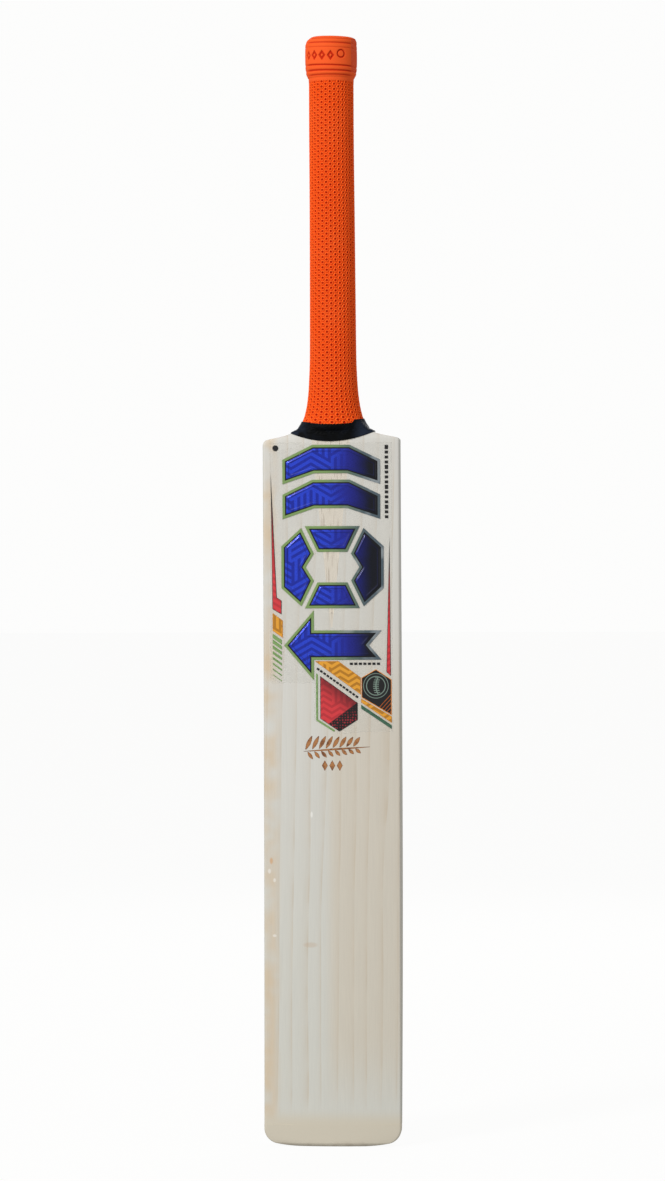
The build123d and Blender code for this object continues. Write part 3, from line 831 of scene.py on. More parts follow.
# ------------------------------------------------------------------ the willow's shape
@dataclass(frozen=True)
class WillowForm:
    """The willow's outside as a ring of points at any height. Sizes in millimetres, as in the CAD.

    A ring runs from the middle of the face round the right edge to the spine and back by the left.
    """

    width: float = 106.4
    shoulder: float = 544.0
    neck_top: float = 600.0
    swell_height: float = 215.0
    rounded: float = 576.0
    face_end: float = -10.0
    bow: float = 5.0
    crown: float = 2.0
    front_radius: float = 2.0
    back_radius: float = 4.0
    edge_depths: tuple[float, float, float] = (18.0, 38.0, 23.0)
    spine_depths: tuple[float, float, float] = (20.0, 63.0, 34.0)
    axis_y: float = 7.0
    neck_radius: float = 16.2
    neck_heights: tuple[float, ...] = (
        544.0, 546.6, 548.0, 549.0, 550.5, 552.8, 556.0, 561.0, 569.0, 582.0, 600.0,
    )
    neck_halves: tuple[float, ...] = (53.2, 52.9, 51.6, 48.0, 41.0, 33.4, 27.6, 23.2, 20.0, 17.7, 16.2)
    steps: tuple[int, ...] = (22, 6, 4, 6, 24)

    def swell(self, z: Array, at_shoulder: float) -> Array:
        """Sine rise from the toe to the swell, then half a cosine down to at_shoulder."""
        rise = np.sin(np.pi / 2 * np.clip(z, 0, self.swell_height) / self.swell_height)
        along = (z - self.swell_height) / (self.shoulder - self.swell_height)
        fall = 0.5 + 0.5 * np.cos(np.pi * np.clip(along, 0, 1))
        return np.where(z <= self.swell_height, rise, at_shoulder + (1 - at_shoulder) * fall)

    def depth(self, z: Array, depths: tuple[float, float, float]) -> Array:
        """Depth at z from its values at the toe, the swell and the shoulders."""
        toe, deepest, end = depths
        return toe + (deepest - toe) * self.swell(z, (end - toe) / (deepest - toe))

    def face_middle(self, z: Array) -> Array:
        """Y of the middle of the face: a shallow parabola."""
        share = np.minimum(z, self.shoulder) / self.shoulder
        return self.face_end + self.bow * 4 * share * (1 - share)

    def face(self, x: Array, z: Array) -> Array:
        """Y of the face at a place in the front view: the middle's parabola plus the crown's."""
        reach = self.width / 2 - self.front_radius
        return self.face_middle(z) + self.crown * (x / reach) ** 2

    def blade_half(self, z: Array) -> tuple[Array, Array]:
        """Right half of the blade's section: crowned face, corner arc, side, corner arc, ridged back.

        Args:
            z: (rows, 1) heights.
        Returns:
            x and y, each (rows, columns).
        """
        half = self.width / 2
        face = self.face_middle(z)
        edge = face + self.depth(z, self.edge_depths)
        spine = face + self.depth(z, self.spine_depths)
        front = face + self.crown
        t = [np.linspace(0, 1, count + 1)[None, :] for count in self.steps]
        flat_x = (half - self.front_radius) * t[0] + 0 * z
        turn = np.pi / 2 * t[1]
        corner_x = half - self.front_radius * (1 - np.sin(turn)) + 0 * z
        corner_y = front + self.front_radius * (1 - np.cos(turn))
        low, high = front + self.front_radius, edge - self.back_radius
        turn_back = np.pi / 2 * t[3]
        back_x = half - self.back_radius * (1 - np.cos(turn_back)) + 0 * z
        back_y = edge - self.back_radius * (1 - np.sin(turn_back))
        s = 1 - t[4]
        cosine = np.cos(np.pi / 2 * s)
        ridge = 0.8 * np.clip(cosine, 0, 1) ** 3.5 + 0.2 * cosine
        xs = (flat_x, corner_x, half + 0 * (z + t[2]), back_x, (half - self.back_radius) * s + 0 * z)
        ys = (face + self.crown * t[0] ** 2, corner_y, low + (high - low) * t[2], back_y,
              edge + (spine - edge) * ridge)
        x = np.hstack([part[:, :-1] for part in xs[:-1]] + [xs[-1]])
        y = np.hstack([part[:, :-1] for part in ys[:-1]] + [ys[-1]])
        return x, y

    def round_half(self) -> tuple[Array, Array]:
        """The same points on a circle round the handle's axis, of radius 1 across and the neck's deep."""
        limits = np.radians([0, 40, 65, 115, 140, 180])
        spans = [np.linspace(a, b, count + 1)[:-1] for a, b, count in zip(limits, limits[1:], self.steps)]
        angle = np.concatenate([*spans, limits[-1:]])[None, :]
        return np.sin(angle), self.axis_y - self.neck_radius * np.cos(angle)

    def rings(self, z: Array) -> Array:
        """Rings of points at the given heights.

        Above the shoulders the blade's section, narrowed to the neck's width, turns into the circle.

        Args:
            z: (rows,) heights in millimetres.
        Returns:
            (rows, columns, 3) places in millimetres.
        """
        height = np.asarray(z, float)[:, None]
        x, y = self.blade_half(np.minimum(height, self.shoulder))
        round_x, round_y = self.round_half()
        blend = ease(height, self.shoulder, self.rounded)
        half = smooth_curve(height, self.neck_heights, self.neck_halves)
        neck_x = half * ((1 - blend) * x / (self.width / 2) + blend * round_x)
        above = height > self.shoulder
        x = np.where(above, neck_x, x)
        y = np.where(above, (1 - blend) * y + blend * round_y, y)
        full_x = np.hstack([x, -x[:, -2:0:-1]])
        full_y = np.hstack([y, y[:, -2:0:-1]])
        return np.stack([full_x, full_y, np.broadcast_to(height, full_x.shape)], axis=-1)

    def reach(self, z: Array, angle: Array) -> Array:
        """Distance from the handle's axis to the willow's outside.

        Args:
            z: (rows,) heights.
            angle: (columns,) directions in radians, 0 towards the face and rising to the right.
        Returns:
            (rows, columns) distances.
        """
        rings = self.rings(z)
        across, along = rings[..., 0], self.axis_y - rings[..., 1]
        ways, distances = np.arctan2(across, along) % FULL_TURN, np.hypot(across, along)
        return np.array([np.interp(angle % FULL_TURN, way, far, period=FULL_TURN)
                         for way, far in zip(ways, distances)])


@dataclass(frozen=True)
class HandSetting:
    """How far the hand-fitted neck and sleeve stand off true, in millimetres.

    x grows by the lean at each height, and z by the tilt times x over the half width.
    """

    heights: tuple[float, ...] = (544.0, 552.0, 558.0, 600.0, 650.0, 720.0, 800.0, 862.0)
    leans: tuple[float, ...] = (0.0, 0.9, 1.2, 0.95, 0.8, 0.5, 0.05, 0.0)
    tilt: float = 0.95
    half_width: float = 53.5
    tilt_grows: tuple[float, float] = (525.0, 547.0)
    tilt_ends: tuple[float, float] = (553.0, 566.0)

    def apply(self, points: Array) -> Array:
        """Moves points in millimetres and returns the new ones."""
        x, y, z = points[..., 0], points[..., 1], points[..., 2]
        tilted = ease(z, *self.tilt_grows) * (1 - ease(z, *self.tilt_ends))
        lean = smooth_curve(z, self.heights, self.leans) * (z > self.heights[0])
        return np.stack([x + lean, y, z + self.tilt * x / self.half_width * tilted], axis=-1)


HAND_SET = HandSetting()


@dataclass
class Blade:
    """The cleft of willow, with the V slot that the handle's tongue is glued into."""

    effects: Effects
    form: WillowForm
    bottom: float = 17.0
    handle_radius: float = 15.0
    slot_top: float = 547.0
    slot_tip: float = 402.0
    slot_tip_half: float = 0.6
    slot_depth: float = 80.0
    spans: tuple[tuple[float, int], ...] = ((520.0, 100), (543.0, 12), (557.0, 57), (600.0, 24))

    def heights(self) -> Array:
        """Row heights: even up the blade, close together over the shoulders."""
        rows, low = [np.array([self.bottom])], self.bottom
        for high, count in self.spans:
            rows.append(np.linspace(low, high, count)[1:])
            low = high
        return np.concatenate(rows)

    def cutter(self) -> bpy.types.Object:
        """The handle's space: a V prism from face to back, and the round shaft above it.

        Each row is a ring of points: the V's sides at |x| = its half width, then the shaft's circle.
        """
        turn = all_round(96)
        ring_x, ring_y = np.sin(turn), -np.cos(turn)
        square_x = np.sign(ring_x) * np.minimum(1, np.abs(ring_x) * 6)
        square_y = np.where(np.abs(ring_x) >= 1 / 6, np.clip(ring_y * 6, -1, 1), np.sign(ring_y))
        rows = []
        for z, half in ((self.slot_tip, self.slot_tip_half), (self.slot_top, self.handle_radius)):
            rows.append((square_x * half, square_y * self.slot_depth, np.full_like(turn, z)))
        for z in (self.slot_top, self.form.neck_top + 5):
            rows.append((ring_x * self.handle_radius, self.form.axis_y + ring_y * self.handle_radius,
                         np.full_like(turn, z)))
        rings = np.array(rows).transpose(0, 2, 1)
        grid = capped(rings, rings[0].mean(axis=0), rings[-1].mean(axis=0)) * MM
        return Surface.from_grid(grid).to_object("slot_cutter")

    def build(self) -> None:
        """Makes the willow, closed at both ends, cuts the handle's slot and dresses it."""
        z = self.heights()
        rings = capped(self.form.rings(z), (0.0, 0.0, z[0]), (0.0, self.form.axis_y, z[-1]))
        piece = Surface.from_grid(HAND_SET.apply(rings) * MM).to_object("willow_blade")
        cut_away(piece, self.cutter(), 40.0)
        hand_over(piece, WillowFinish("willow", self.effects).made(), ["blade"])


@dataclass
class ToeGuard:
    """The moulded cover over the toe: flat rest, crowned sole, rounded corners and edges."""

    effects: Effects
    form: WillowForm
    height: float = 17.0
    flat: float = 20.0
    crown_radius: float = 120.0
    corner_radius: float = 12.0
    round_radius: float = 4.0
    back: float = 11.0

    def half_width(self, z: Array) -> Array:
        """Half width at z: the crown's arc up to its knee, then the corner's arc, then the full width."""
        full = self.form.width / 2
        sine = (full - self.flat - self.corner_radius) / (self.crown_radius - self.corner_radius)
        turn = math.asin(sine)
        knee = self.crown_radius * (1 - math.cos(turn))
        crown = self.flat + np.sqrt(np.clip(self.crown_radius**2 - (self.crown_radius - z) ** 2, 0, None))
        middle = knee + self.corner_radius * math.cos(turn)
        rise = np.clip(middle - z, 0, self.corner_radius)
        corner = full - self.corner_radius + np.sqrt(self.corner_radius**2 - rise**2)
        return np.where(z < knee, crown, corner)

    def build(self) -> None:
        """Squeezes each blade ring to the toe's width, and its depth to the rounded front and back."""
        z = self.height * np.linspace(0, 1, 48) ** 2
        rings = self.form.rings(z)
        rings[..., 0] *= (self.half_width(z) / (self.form.width / 2))[:, None]
        y = rings[..., 1]
        front, rear = y.min(axis=1, keepdims=True), y.max(axis=1, keepdims=True)
        rise = np.clip(self.round_radius - z, 0, None)[:, None]
        inset = self.round_radius - np.sqrt(self.round_radius**2 - rise**2)
        new_front = np.maximum(front, self.form.face_end + inset)
        new_rear = np.minimum(rear, self.back - inset)
        rings[..., 1] = new_front + (y - front) * (new_rear - new_front) / (rear - front)
        grid = capped(rings, rings[0].mean(axis=0), (0.0, 0.0, self.height)) * MM
        piece = Surface.from_grid(grid).to_object("toe_cover", 50.0)
        hand_over(piece, ToeFinish("toe_cover", self.effects).made(), ["toe_guard"])


# ------------------------------------------------------------------ grip
@dataclass(frozen=True)
class GripForm:
    """The rubber sleeve's outer shape and its close-packed dimples, in millimetres.

    The valley and the hole each have a depth and the two distances from a dimple between which they end.
    """

    axis_y: float = 7.0
    radius: float = 17.8
    bottom: float = 557.0
    neck: float = 826.8
    columns: int = 32
    pitch: float = 4.0
    valley: tuple[float, float, float] = (0.7, 1.35, 2.0)
    hole: tuple[float, float, float] = (0.95, 0.4, 1.0)
    sunk: float = 0.15
    skirt_heights: tuple[float, ...] = (557.0, 561.0, 567.0, 577.0, 590.0, 612.0, 645.0, 700.0, 770.0, 827.0)
    skirt_halves: tuple[float, ...] = (27.5, 25.0, 22.6, 20.5, 19.2, 18.3, 18.05, 17.8, 17.55, 17.5)
    skirt_depths: tuple[float, ...] = (19.6, 19.4, 19.1, 18.8, 18.5, 18.1, 17.9, 17.8, 17.55, 17.5)

    def lattice(self, turn: Array, z: Array) -> Array:
        """Distance to the nearest dimple's centre: staggered columns, each half a pitch off the last."""
        column = turn / FULL_TURN * self.columns
        nearest = np.full(np.broadcast(turn, z).shape, self.pitch)
        for offset in (0, 1):
            index = np.floor(column) + offset
            across = (column - index) * FULL_TURN * self.radius / self.columns
            steps = (z - self.neck) / self.pitch + 0.5 * (index % 2) + 0.5
            along = (steps - np.round(steps)) * self.pitch
            nearest = np.minimum(nearest, np.hypot(across, along))
        return nearest

    def relief(self, distance: Array) -> Array:
        """Height of the moulding: a rounded ring round each small hole, with a valley between rings."""
        valley = -self.valley[0] * ease(distance, *self.valley[1:])
        hole = -self.hole[0] * (1 - ease(distance, *self.hole[1:]))
        return valley + hole - self.sunk

    def halves(self, z: Array) -> tuple[Array, Array]:
        """The plain sleeve's half width and half depth at a height."""
        return (smooth_curve(z, self.skirt_heights, self.skirt_halves),
                smooth_curve(z, self.skirt_heights, self.skirt_depths))

    def reach(self, z: Array, angle: Array) -> Array:
        """Distance from the axis of the plain sleeve in a direction: that of an ellipse."""
        half, deep = self.halves(z)
        return 1 / np.sqrt((np.sin(angle) / half) ** 2 + (np.cos(angle) / deep) ** 2)

    def place(self, reach: Array, angle: Array, z: Array) -> Array:
        """Points at a distance and direction from the handle's axis."""
        height = np.broadcast_to(z, reach.shape)
        return np.stack([reach * np.sin(angle), self.axis_y - reach * np.cos(angle), height], axis=-1)


@dataclass
class GripSleeve:
    """The long dimpled part of the sleeve, hollow round the bound handle."""

    form: GripForm
    willow: WillowForm
    bore: float = 15.85
    around: int = 192
    rows_per_pitch: int = 6
    inner_count: int = 40
    least_wall: float = 0.25
    fade: tuple[float, float] = (0.2, 2.2)

    def build(self, rubber: bpy.types.Material) -> None:
        """Outer wall with dimples, rim, then the inner wall clear of the wood; the ends are joined."""
        form = self.form
        count = int(round((form.neck - form.bottom) / form.pitch * self.rows_per_pitch))
        z = form.neck - np.arange(count, -1, -1)[:, None] * form.pitch / self.rows_per_pitch
        turn = all_round(self.around)[None, :]
        fade = ease(form.neck - z, *self.fade)
        lift = form.relief(form.lattice(turn, z)) * fade
        half, deep = form.halves(z)
        across, along = half * np.sin(turn), deep * np.cos(turn)
        plain, angle = np.hypot(across, along), np.arctan2(across, along)
        wood = np.array([self.willow.reach(row, ways)[0] for row, ways in zip(z, angle)])
        reach = wood + CLEARANCE + soft_rise(plain - wood - CLEARANCE) + lift
        outer = HAND_SET.apply(form.place(np.maximum(reach, wood + self.least_wall), angle, z))
        inner_rows = np.linspace(len(z) - 1, 0, self.inner_count).astype(int)
        inner_reach = np.minimum(np.maximum(self.bore, wood[inner_rows] + 0.05), plain[inner_rows] - 0.2)
        inner = form.place(inner_reach, angle[inner_rows], z[inner_rows])
        wooded = (inner_reach > self.bore + 0.01)[..., None]
        inner = np.where(wooded, HAND_SET.apply(inner), inner)
        grid = np.concatenate([outer, inner, outer[:1]]) * MM
        dimpled = fade + 0 * turn
        none, every_row = np.zeros((self.inner_count, self.around)), np.zeros((len(grid), 1))
        marks = {
            "dimpled": np.concatenate([dimpled, none, dimpled[:1]]),
            "turn_sine": np.sin(turn) + every_row,
            "turn_cosine": np.cos(turn) + every_row,
        }
        piece = Surface.from_grid(grid, marks).to_object("grip_sleeve", 60.0)
        hand_over(piece, rubber, ["grip"])


@dataclass
class GripCuff:
    """The thicker end of the sleeve: beads and grooves, a panel of plain marks and a rounded top."""

    form: GripForm
    bottom: float = 826.8
    top: float = 861.5
    hole: float = 12.3
    floor: float = 857.05
    around: int = 288
    tilt: float = 0.036
    front_sag: float = 0.3
    corner: tuple[float, float] = (5.75, 2.25)
    facet_azimuth: float = 75.0
    facet_distance: float = 18.7
    facet_edge: tuple[float, float] = (831.0, 834.0)
    panel: tuple[float, float] = (841.0, 852.0)
    lozenge_arcs: tuple[float, ...] = (-20.5, -13.4, -6.3, 0.8)
    lozenge_height: float = 845.8
    ring_centre: Place2 = (9.3, 847.4)
    ring_radius: float = 2.9
    socket_radius: float = 15.9
    body_heights: tuple[float, ...] = (826.8, 828.2, 829.6, 831.6, 835.0, 839.0, 846.0, 852.0, 856.5, 862.0)
    body_radii: tuple[float, ...] = (17.5, 17.6, 18.5, 19.3, 19.8, 20.1, 20.2, 20.15, 20.0, 19.8)
    grooves: tuple[tuple[float, float, float], ...] = (
        (830.3, 0.5, 0.8), (834.0, 0.65, 0.9), (838.4, 0.75, 0.65), (852.3, 0.35, 0.5), (855.9, 0.5, 0.8),
        (859.4, 0.4, 0.7),
    )

    def groove_depth(self, z: Array) -> Array:
        """Sum over the grooves of depth times a bell exp(-((z - place) / width)²)."""
        return sum(deep * np.exp(-(((z - place) / wide) ** 2)) for place, deep, wide in self.grooves)

    def mark_depth(self, turn: Array, z: Array) -> Array:
        """Pressed lozenges in the panel, and a ring: soft steps on |x|/a + |z|/b and on the radius."""
        arc = ((turn + np.pi) % FULL_TURN - np.pi) * self.form.radius * 1.15
        depth = np.zeros(np.broadcast(turn, z).shape)
        for place in self.lozenge_arcs:
            share = np.abs(arc - place) / 3.2 + np.abs(z - self.lozenge_height) / 4.3
            depth += 0.8 * (1 - ease(share, 0.8, 1.0))
            depth -= 0.7 * (1 - ease(share, 0.25, 0.45))
        radius = np.hypot(arc - self.ring_centre[0], z - self.ring_centre[1])
        return depth + 0.8 * (1 - ease(np.abs(radius - self.ring_radius), 0.35, 0.75))

    def build(self, rubber: bpy.types.Material) -> None:
        """Wall rows, the top's corner arc, the flat top, the lip and the recess, as one lathe-like grid.

        The corner's radius runs from 8 on the left to 3.5 on the right. The grooves are shallower at
        the sides, and a flat facet is cut on the right. Everything is sheared so that the right side
        lies lower, with a slight sag of 0.3 cos² of the turn at the front.
        """
        turn = all_round(self.around)[None, :]
        corner = self.corner[0] - self.corner[1] * np.sin(turn)
        share = np.linspace(0, 1, 120)[:, None]
        wall_z = self.bottom + (self.top - corner - self.bottom) * share
        bend = np.linspace(0, np.pi / 2, 29)[1:, None]
        arc_z = self.top - corner + corner * np.sin(bend)
        wall = smooth_curve(wall_z, self.body_heights, self.body_radii)
        z = np.concatenate([wall_z, arc_z])
        radius = np.concatenate([wall, wall[-1:] - corner * (1 - np.cos(bend))])
        slope = np.concatenate([np.zeros_like(wall_z), np.broadcast_to(bend, arc_z.shape)])
        depth = self.groove_depth(z) * (1 - 0.6 * ease(np.abs(np.sin(turn)), 0.75, 0.98))
        depth = depth + self.mark_depth(turn, z) * (z > self.panel[0]) * (z < self.panel[1])
        flat = self.facet_distance / np.clip(np.cos(turn - math.radians(self.facet_azimuth)), 0.2, None)
        full = flat + (1 - ease(z, *self.facet_edge)) * 5.0
        # painted shade: the flat facet on the right, which faces away from the key light, is darkened
        wear_and_painted_light = ease(radius - full, -0.05, 0.3) * 0.35
        radius = np.minimum(radius, full) - depth * np.cos(slope)
        z = z - depth * np.sin(slope)
        lip = np.maximum(radius[-1:], self.hole + 0.3)
        inner = [(lip * (1 - t) + (self.hole + 0.4) * t, self.top) for t in (0.35, 0.7, 1.0)]
        inner += [(self.hole + 0.1, self.top - 0.15), (self.hole, self.top - 0.5), (self.hole, self.floor)]
        inner += [(self.socket_radius, self.floor), (self.socket_radius, self.bottom)]
        radii = np.concatenate([radius] + [np.broadcast_to(r, (1, self.around)) for r, _ in inner])
        heights = np.concatenate([z] + [np.full((1, self.around), height) for _, height in inner])
        share = ease(heights, self.bottom + 0.5, 840.0)
        across = radii * np.sin(turn)
        sag = self.tilt * (across + 20.5) + self.front_sag * np.clip(np.cos(turn), 0, 1) ** 2
        heights = np.maximum(heights - sag * share * (radii > self.hole - 0.01), self.bottom)
        grid = self.form.place(radii, turn, heights)
        grid = np.concatenate([grid, grid[:1]]) * MM
        # painted shade: darker with the depth of the grooves and pressed marks, and on the facet
        painted_shade = np.maximum(ease(depth, 0.1, 0.6) * 0.85, wear_and_painted_light)
        painted_shade = np.concatenate([painted_shade, np.zeros((len(inner) + 1, self.around))])
        piece = Surface.from_grid(grid, {"painted_shade": painted_shade}).to_object("grip_cuff", 55.0)
        hand_over(piece, rubber, ["grip"])


@dataclass
class ShoulderTape:
    """Black tape wound over the sleeve's lower end and down onto the shoulders, in two turns.

    Its upper and lower edges each have a height in the middle, and a rise reached at some distance.
    """

    effects: Effects
    willow: WillowForm
    grip: GripForm
    around: int = 288
    rows: int = 64
    thickness: float = 0.36
    ramp: tuple[float, float] = (553.8, 557.4)
    top: Place3 = (559.5, 3.0, 26.0)
    low: Place3 = (546.2, 6.6, 31.8)
    raised_end: float = 2.2
    fine_span: tuple[float, float, int] = (543.0, 568.0, 501)

    def top_edge(self, x: Array) -> Array:
        """Height of the upper edge: a shallow dip in the middle and a raised end on the right."""
        return self.top[0] + self.top[1] * (x / self.top[2]) ** 2 + self.raised_end * ease(x, 15.0, 17.0)

    def low_edge(self, x: Array) -> Array:
        """Height of the lower edge: a parabola that rises up the shoulders."""
        return self.low[0] + self.low[1] * (x / self.low[2]) ** 2

    def step_edge(self, x: Array) -> Array:
        """Height at which the outer turn ends."""
        return 550.3 + 4.2 * (np.abs(x) / 27.0) ** 1.5

    def envelope(self, z: Array, angle: Array) -> Array:
        """Reach of whatever the tape lies on: wood, then a smooth ramp up onto the sleeve."""
        wood = self.willow.reach(z, angle)
        sleeve = self.grip.reach(np.maximum(z, self.grip.bottom)[:, None], angle[None, :])
        return wood + (0.2 + soft_rise(sleeve - wood - CLEARANCE)) * ease(z, *self.ramp)[:, None]

    def build(self) -> None:
        """Rows between the two edges in every direction, lifted along the surface's own normal."""
        angle = all_round(self.around)
        fine = np.linspace(*self.fine_span)
        reach = self.envelope(fine, angle)
        across = reach * np.sin(angle)
        low = self.crossing(fine, fine[:, None] - self.low_edge(across))
        high = self.crossing(fine, fine[:, None] - self.top_edge(across))
        share = np.linspace(0, 1, self.rows)[:, None]
        z = low + (high - low) * share
        base = self.lookup(fine, reach, z)
        points = self.grip.place(base, angle, z)
        x, y = points[..., 0], points[..., 1]
        normal = self.normals(points)
        turn = np.arctan2(x / np.maximum(np.abs(x).max(axis=1, keepdims=True), 1), (7.0 - y) / 19.0)
        lower = 1 - ease(z - self.step_edge(x), -0.15, 0.15)
        bumps = self.grip.relief(self.grip.lattice(turn % FULL_TURN, z)) * 0.3 * ease(z, 551.0, 553.0)
        bumps = bumps * (1 - ease(np.abs(np.sin(angle)), 0.8, 0.95))
        wrinkle = 0.05 * np.sin(z * 5.1 + 3 * np.sin(angle * 2.0)) * np.sin(angle * 9 + z)
        lift = self.thickness * (1 + 1.2 * lower) + (bumps + 0.2) * (1 - lower) + 0.12 + wrinkle
        lift = np.maximum(lift, 0.15)
        edge = np.minimum(ease(share, 0.0, 0.015), 1 - ease(share, 0.985, 1.0))
        lift = 0.08 + (lift - 0.08) * (0.25 + 0.75 * edge)
        outer = points + normal * lift[..., None]
        inner = points[::-1] + normal[::-1] * 0.04
        grid = HAND_SET.apply(np.concatenate([outer, inner, outer[:1]])) * MM
        piece = Surface.from_grid(grid).to_object("shoulder_wrap", 40.0)
        hand_over(piece, TapeFinish("tape", self.effects).made(), ["shoulder_tape"])

    @staticmethod
    def crossing(heights: Array, above: Array) -> Array:
        """Height in each column at which a rising value passes zero, by straight interpolation."""
        index = np.clip((above > 0).argmax(axis=0), 1, len(heights) - 1)
        columns = np.arange(above.shape[1])
        before, after = above[index - 1, columns], above[index, columns]
        share = np.clip(-before / (after - before), 0, 1)
        return heights[index - 1] + (heights[index] - heights[index - 1]) * share

    @staticmethod
    def lookup(heights: Array, values: Array, z: Array) -> Array:
        """Values at other heights, column by column, by straight interpolation."""
        place = (z - heights[0]) / (heights[1] - heights[0])
        index = np.clip(place.astype(int), 0, len(heights) - 2)
        share = place - index
        columns = np.arange(values.shape[1])[None, :]
        return values[index, columns] * (1 - share) + values[index + 1, columns] * share

    @staticmethod
    def normals(points: Array) -> Array:
        """Unit normals of a grid that closes round: the cross product of its two differences."""
        up = np.gradient(points, axis=0)
        side = np.roll(points, -1, axis=1) - np.roll(points, 1, axis=1)
        normal = np.cross(side, up)
        return normal / np.linalg.norm(normal, axis=-1, keepdims=True)


# ------------------------------------------------------------------ graphics on the face
@dataclass(frozen=True)
class Profile:
    """Height of a label over distance from its outline, in millimetres.

    Attributes:
        insets: distances in from the outline.
        heights: height above the layer below at each.
    """

    insets: tuple[float, ...]
    heights: tuple[float, ...]


FLAT_PRINT = Profile((0.0, 0.03, 0.35, 0.45), (0.0, 0.14, 0.15, 0.15))
CLEAR_FILM = Profile((0.0, 0.05, 0.5, 1.2), (0.0, 0.17, 0.18, 0.18))
BURN = Profile((0.0, 0.08, 0.2), (0.0, 0.03, 0.03))
DOMED = Profile(
    (0.0, 0.06, 2.1, 2.9, 3.05, 3.4, 3.8, 4.15, 4.5, 4.85, 5.2),
    (0.0, 0.28, 0.32, 0.3, 0.34, 0.56, 0.8, 0.9, 0.88, 0.74, 0.68),
)


@dataclass
class FaceLabel:
    """Flat or domed shapes lying on the face, each given by its outline in the front view.

    Attributes:
        form: the willow, whose face the label follows.
        profile: height over distance from the outline.
        layer: distance of the underside in front of the willow.
        spacing: longest side of a face in the mesh.
    """

    form: WillowForm
    profile: Profile
    layer: float
    spacing: float = 3.0

    def inset(self, outline: Array, distance: float) -> Array:
        """Moves each corner in along its mitre: corner + d (n1 + n2) / (1 + n1·n2)."""
        ahead = np.roll(outline, -1, axis=0) - outline
        ahead /= np.linalg.norm(ahead, axis=1, keepdims=True)
        normal = np.stack([-ahead[:, 1], ahead[:, 0]], axis=1)
        before = np.roll(normal, 1, axis=0)
        return outline + distance * (normal + before) / (1 + (normal * before).sum(axis=1, keepdims=True))

    def rings(self, outline: Array, centre: Array) -> tuple[Array, Array, Array]:
        """Rings of points from the outline in, then on towards the centre.

        Args:
            outline: (n, 2) corners, anticlockwise seen from the front.
            centre: a place that every inset ring can be seen from.
        Returns:
            (rows, columns, 2) places, and each row's inset and height.
        """
        ends = np.roll(outline, -1, axis=0)
        counts = np.maximum(1, np.ceil(np.linalg.norm(ends - outline, axis=1) / self.spacing)).astype(int)
        which = np.repeat(np.arange(len(outline)), counts)
        share = np.concatenate([np.arange(count) / count for count in counts])[:, None]
        rows = []
        for distance in self.profile.insets:
            corners = self.inset(outline, distance)
            rows.append(corners[which] * (1 - share) + np.roll(corners, -1, axis=0)[which] * share)
        far = np.linalg.norm(rows[-1] - centre, axis=1).max()
        steps = max(1, int(np.ceil(far / (self.spacing * 1.4))))
        rows += [centre + (rows[-1] - centre) * (1 - step / steps) for step in range(1, steps + 1)]
        insets = np.array([*self.profile.insets] + [self.profile.insets[-1] + 1.0] * steps)
        heights = np.array([*self.profile.heights] + [self.profile.heights[-1]] * steps)
        return np.array(rows), insets, heights

    def shape(self, corners: Sequence[Place2], centre: Place2 | None = None) -> Surface:
        """One closed shape: top rows from the centre out, then the underside rows back to the centre."""
        outline = np.array(corners, float)
        x, z = outline[:, 0], outline[:, 1]
        if (x * np.roll(z, -1) - np.roll(x, -1) * z).sum() < 0:
            outline = outline[::-1]
        middle = outline.mean(axis=0) if centre is None else np.array(centre, float)
        flat, insets, heights = self.rings(outline, middle)
        top = self.lay(flat, self.layer + heights[:, None])
        bottom = self.lay(flat[[0, len(self.profile.insets) - 1]], self.layer + np.zeros((2, 1)))
        inner = self.lay(flat[len(self.profile.insets):], self.layer + np.zeros((1, 1)))
        points = np.concatenate([top[::-1], bottom, inner]) * MM
        rim = np.concatenate([insets[::-1], np.full(len(bottom) + len(inner), 0.0)])
        marks = {"rim": np.broadcast_to(rim[:, None], points.shape[:2])}
        return Surface.from_grid(points, marks)

    def lay(self, flat: Array, front: Array) -> Array:
        """Front-view places as points at a distance in front of the face."""
        x, z = flat[..., 0], flat[..., 1]
        return np.stack([x, self.form.face(x, z) - front, z], axis=-1)

    def piece(self, name: str, shapes: Sequence[Surface], material: bpy.types.Material, slot: str,
              nodes: Sequence[str]) -> None:
        """Joins the shapes into one piece and hands it over."""
        hand_over(Surface.joined(shapes).to_object(name, 28.0), material, nodes)


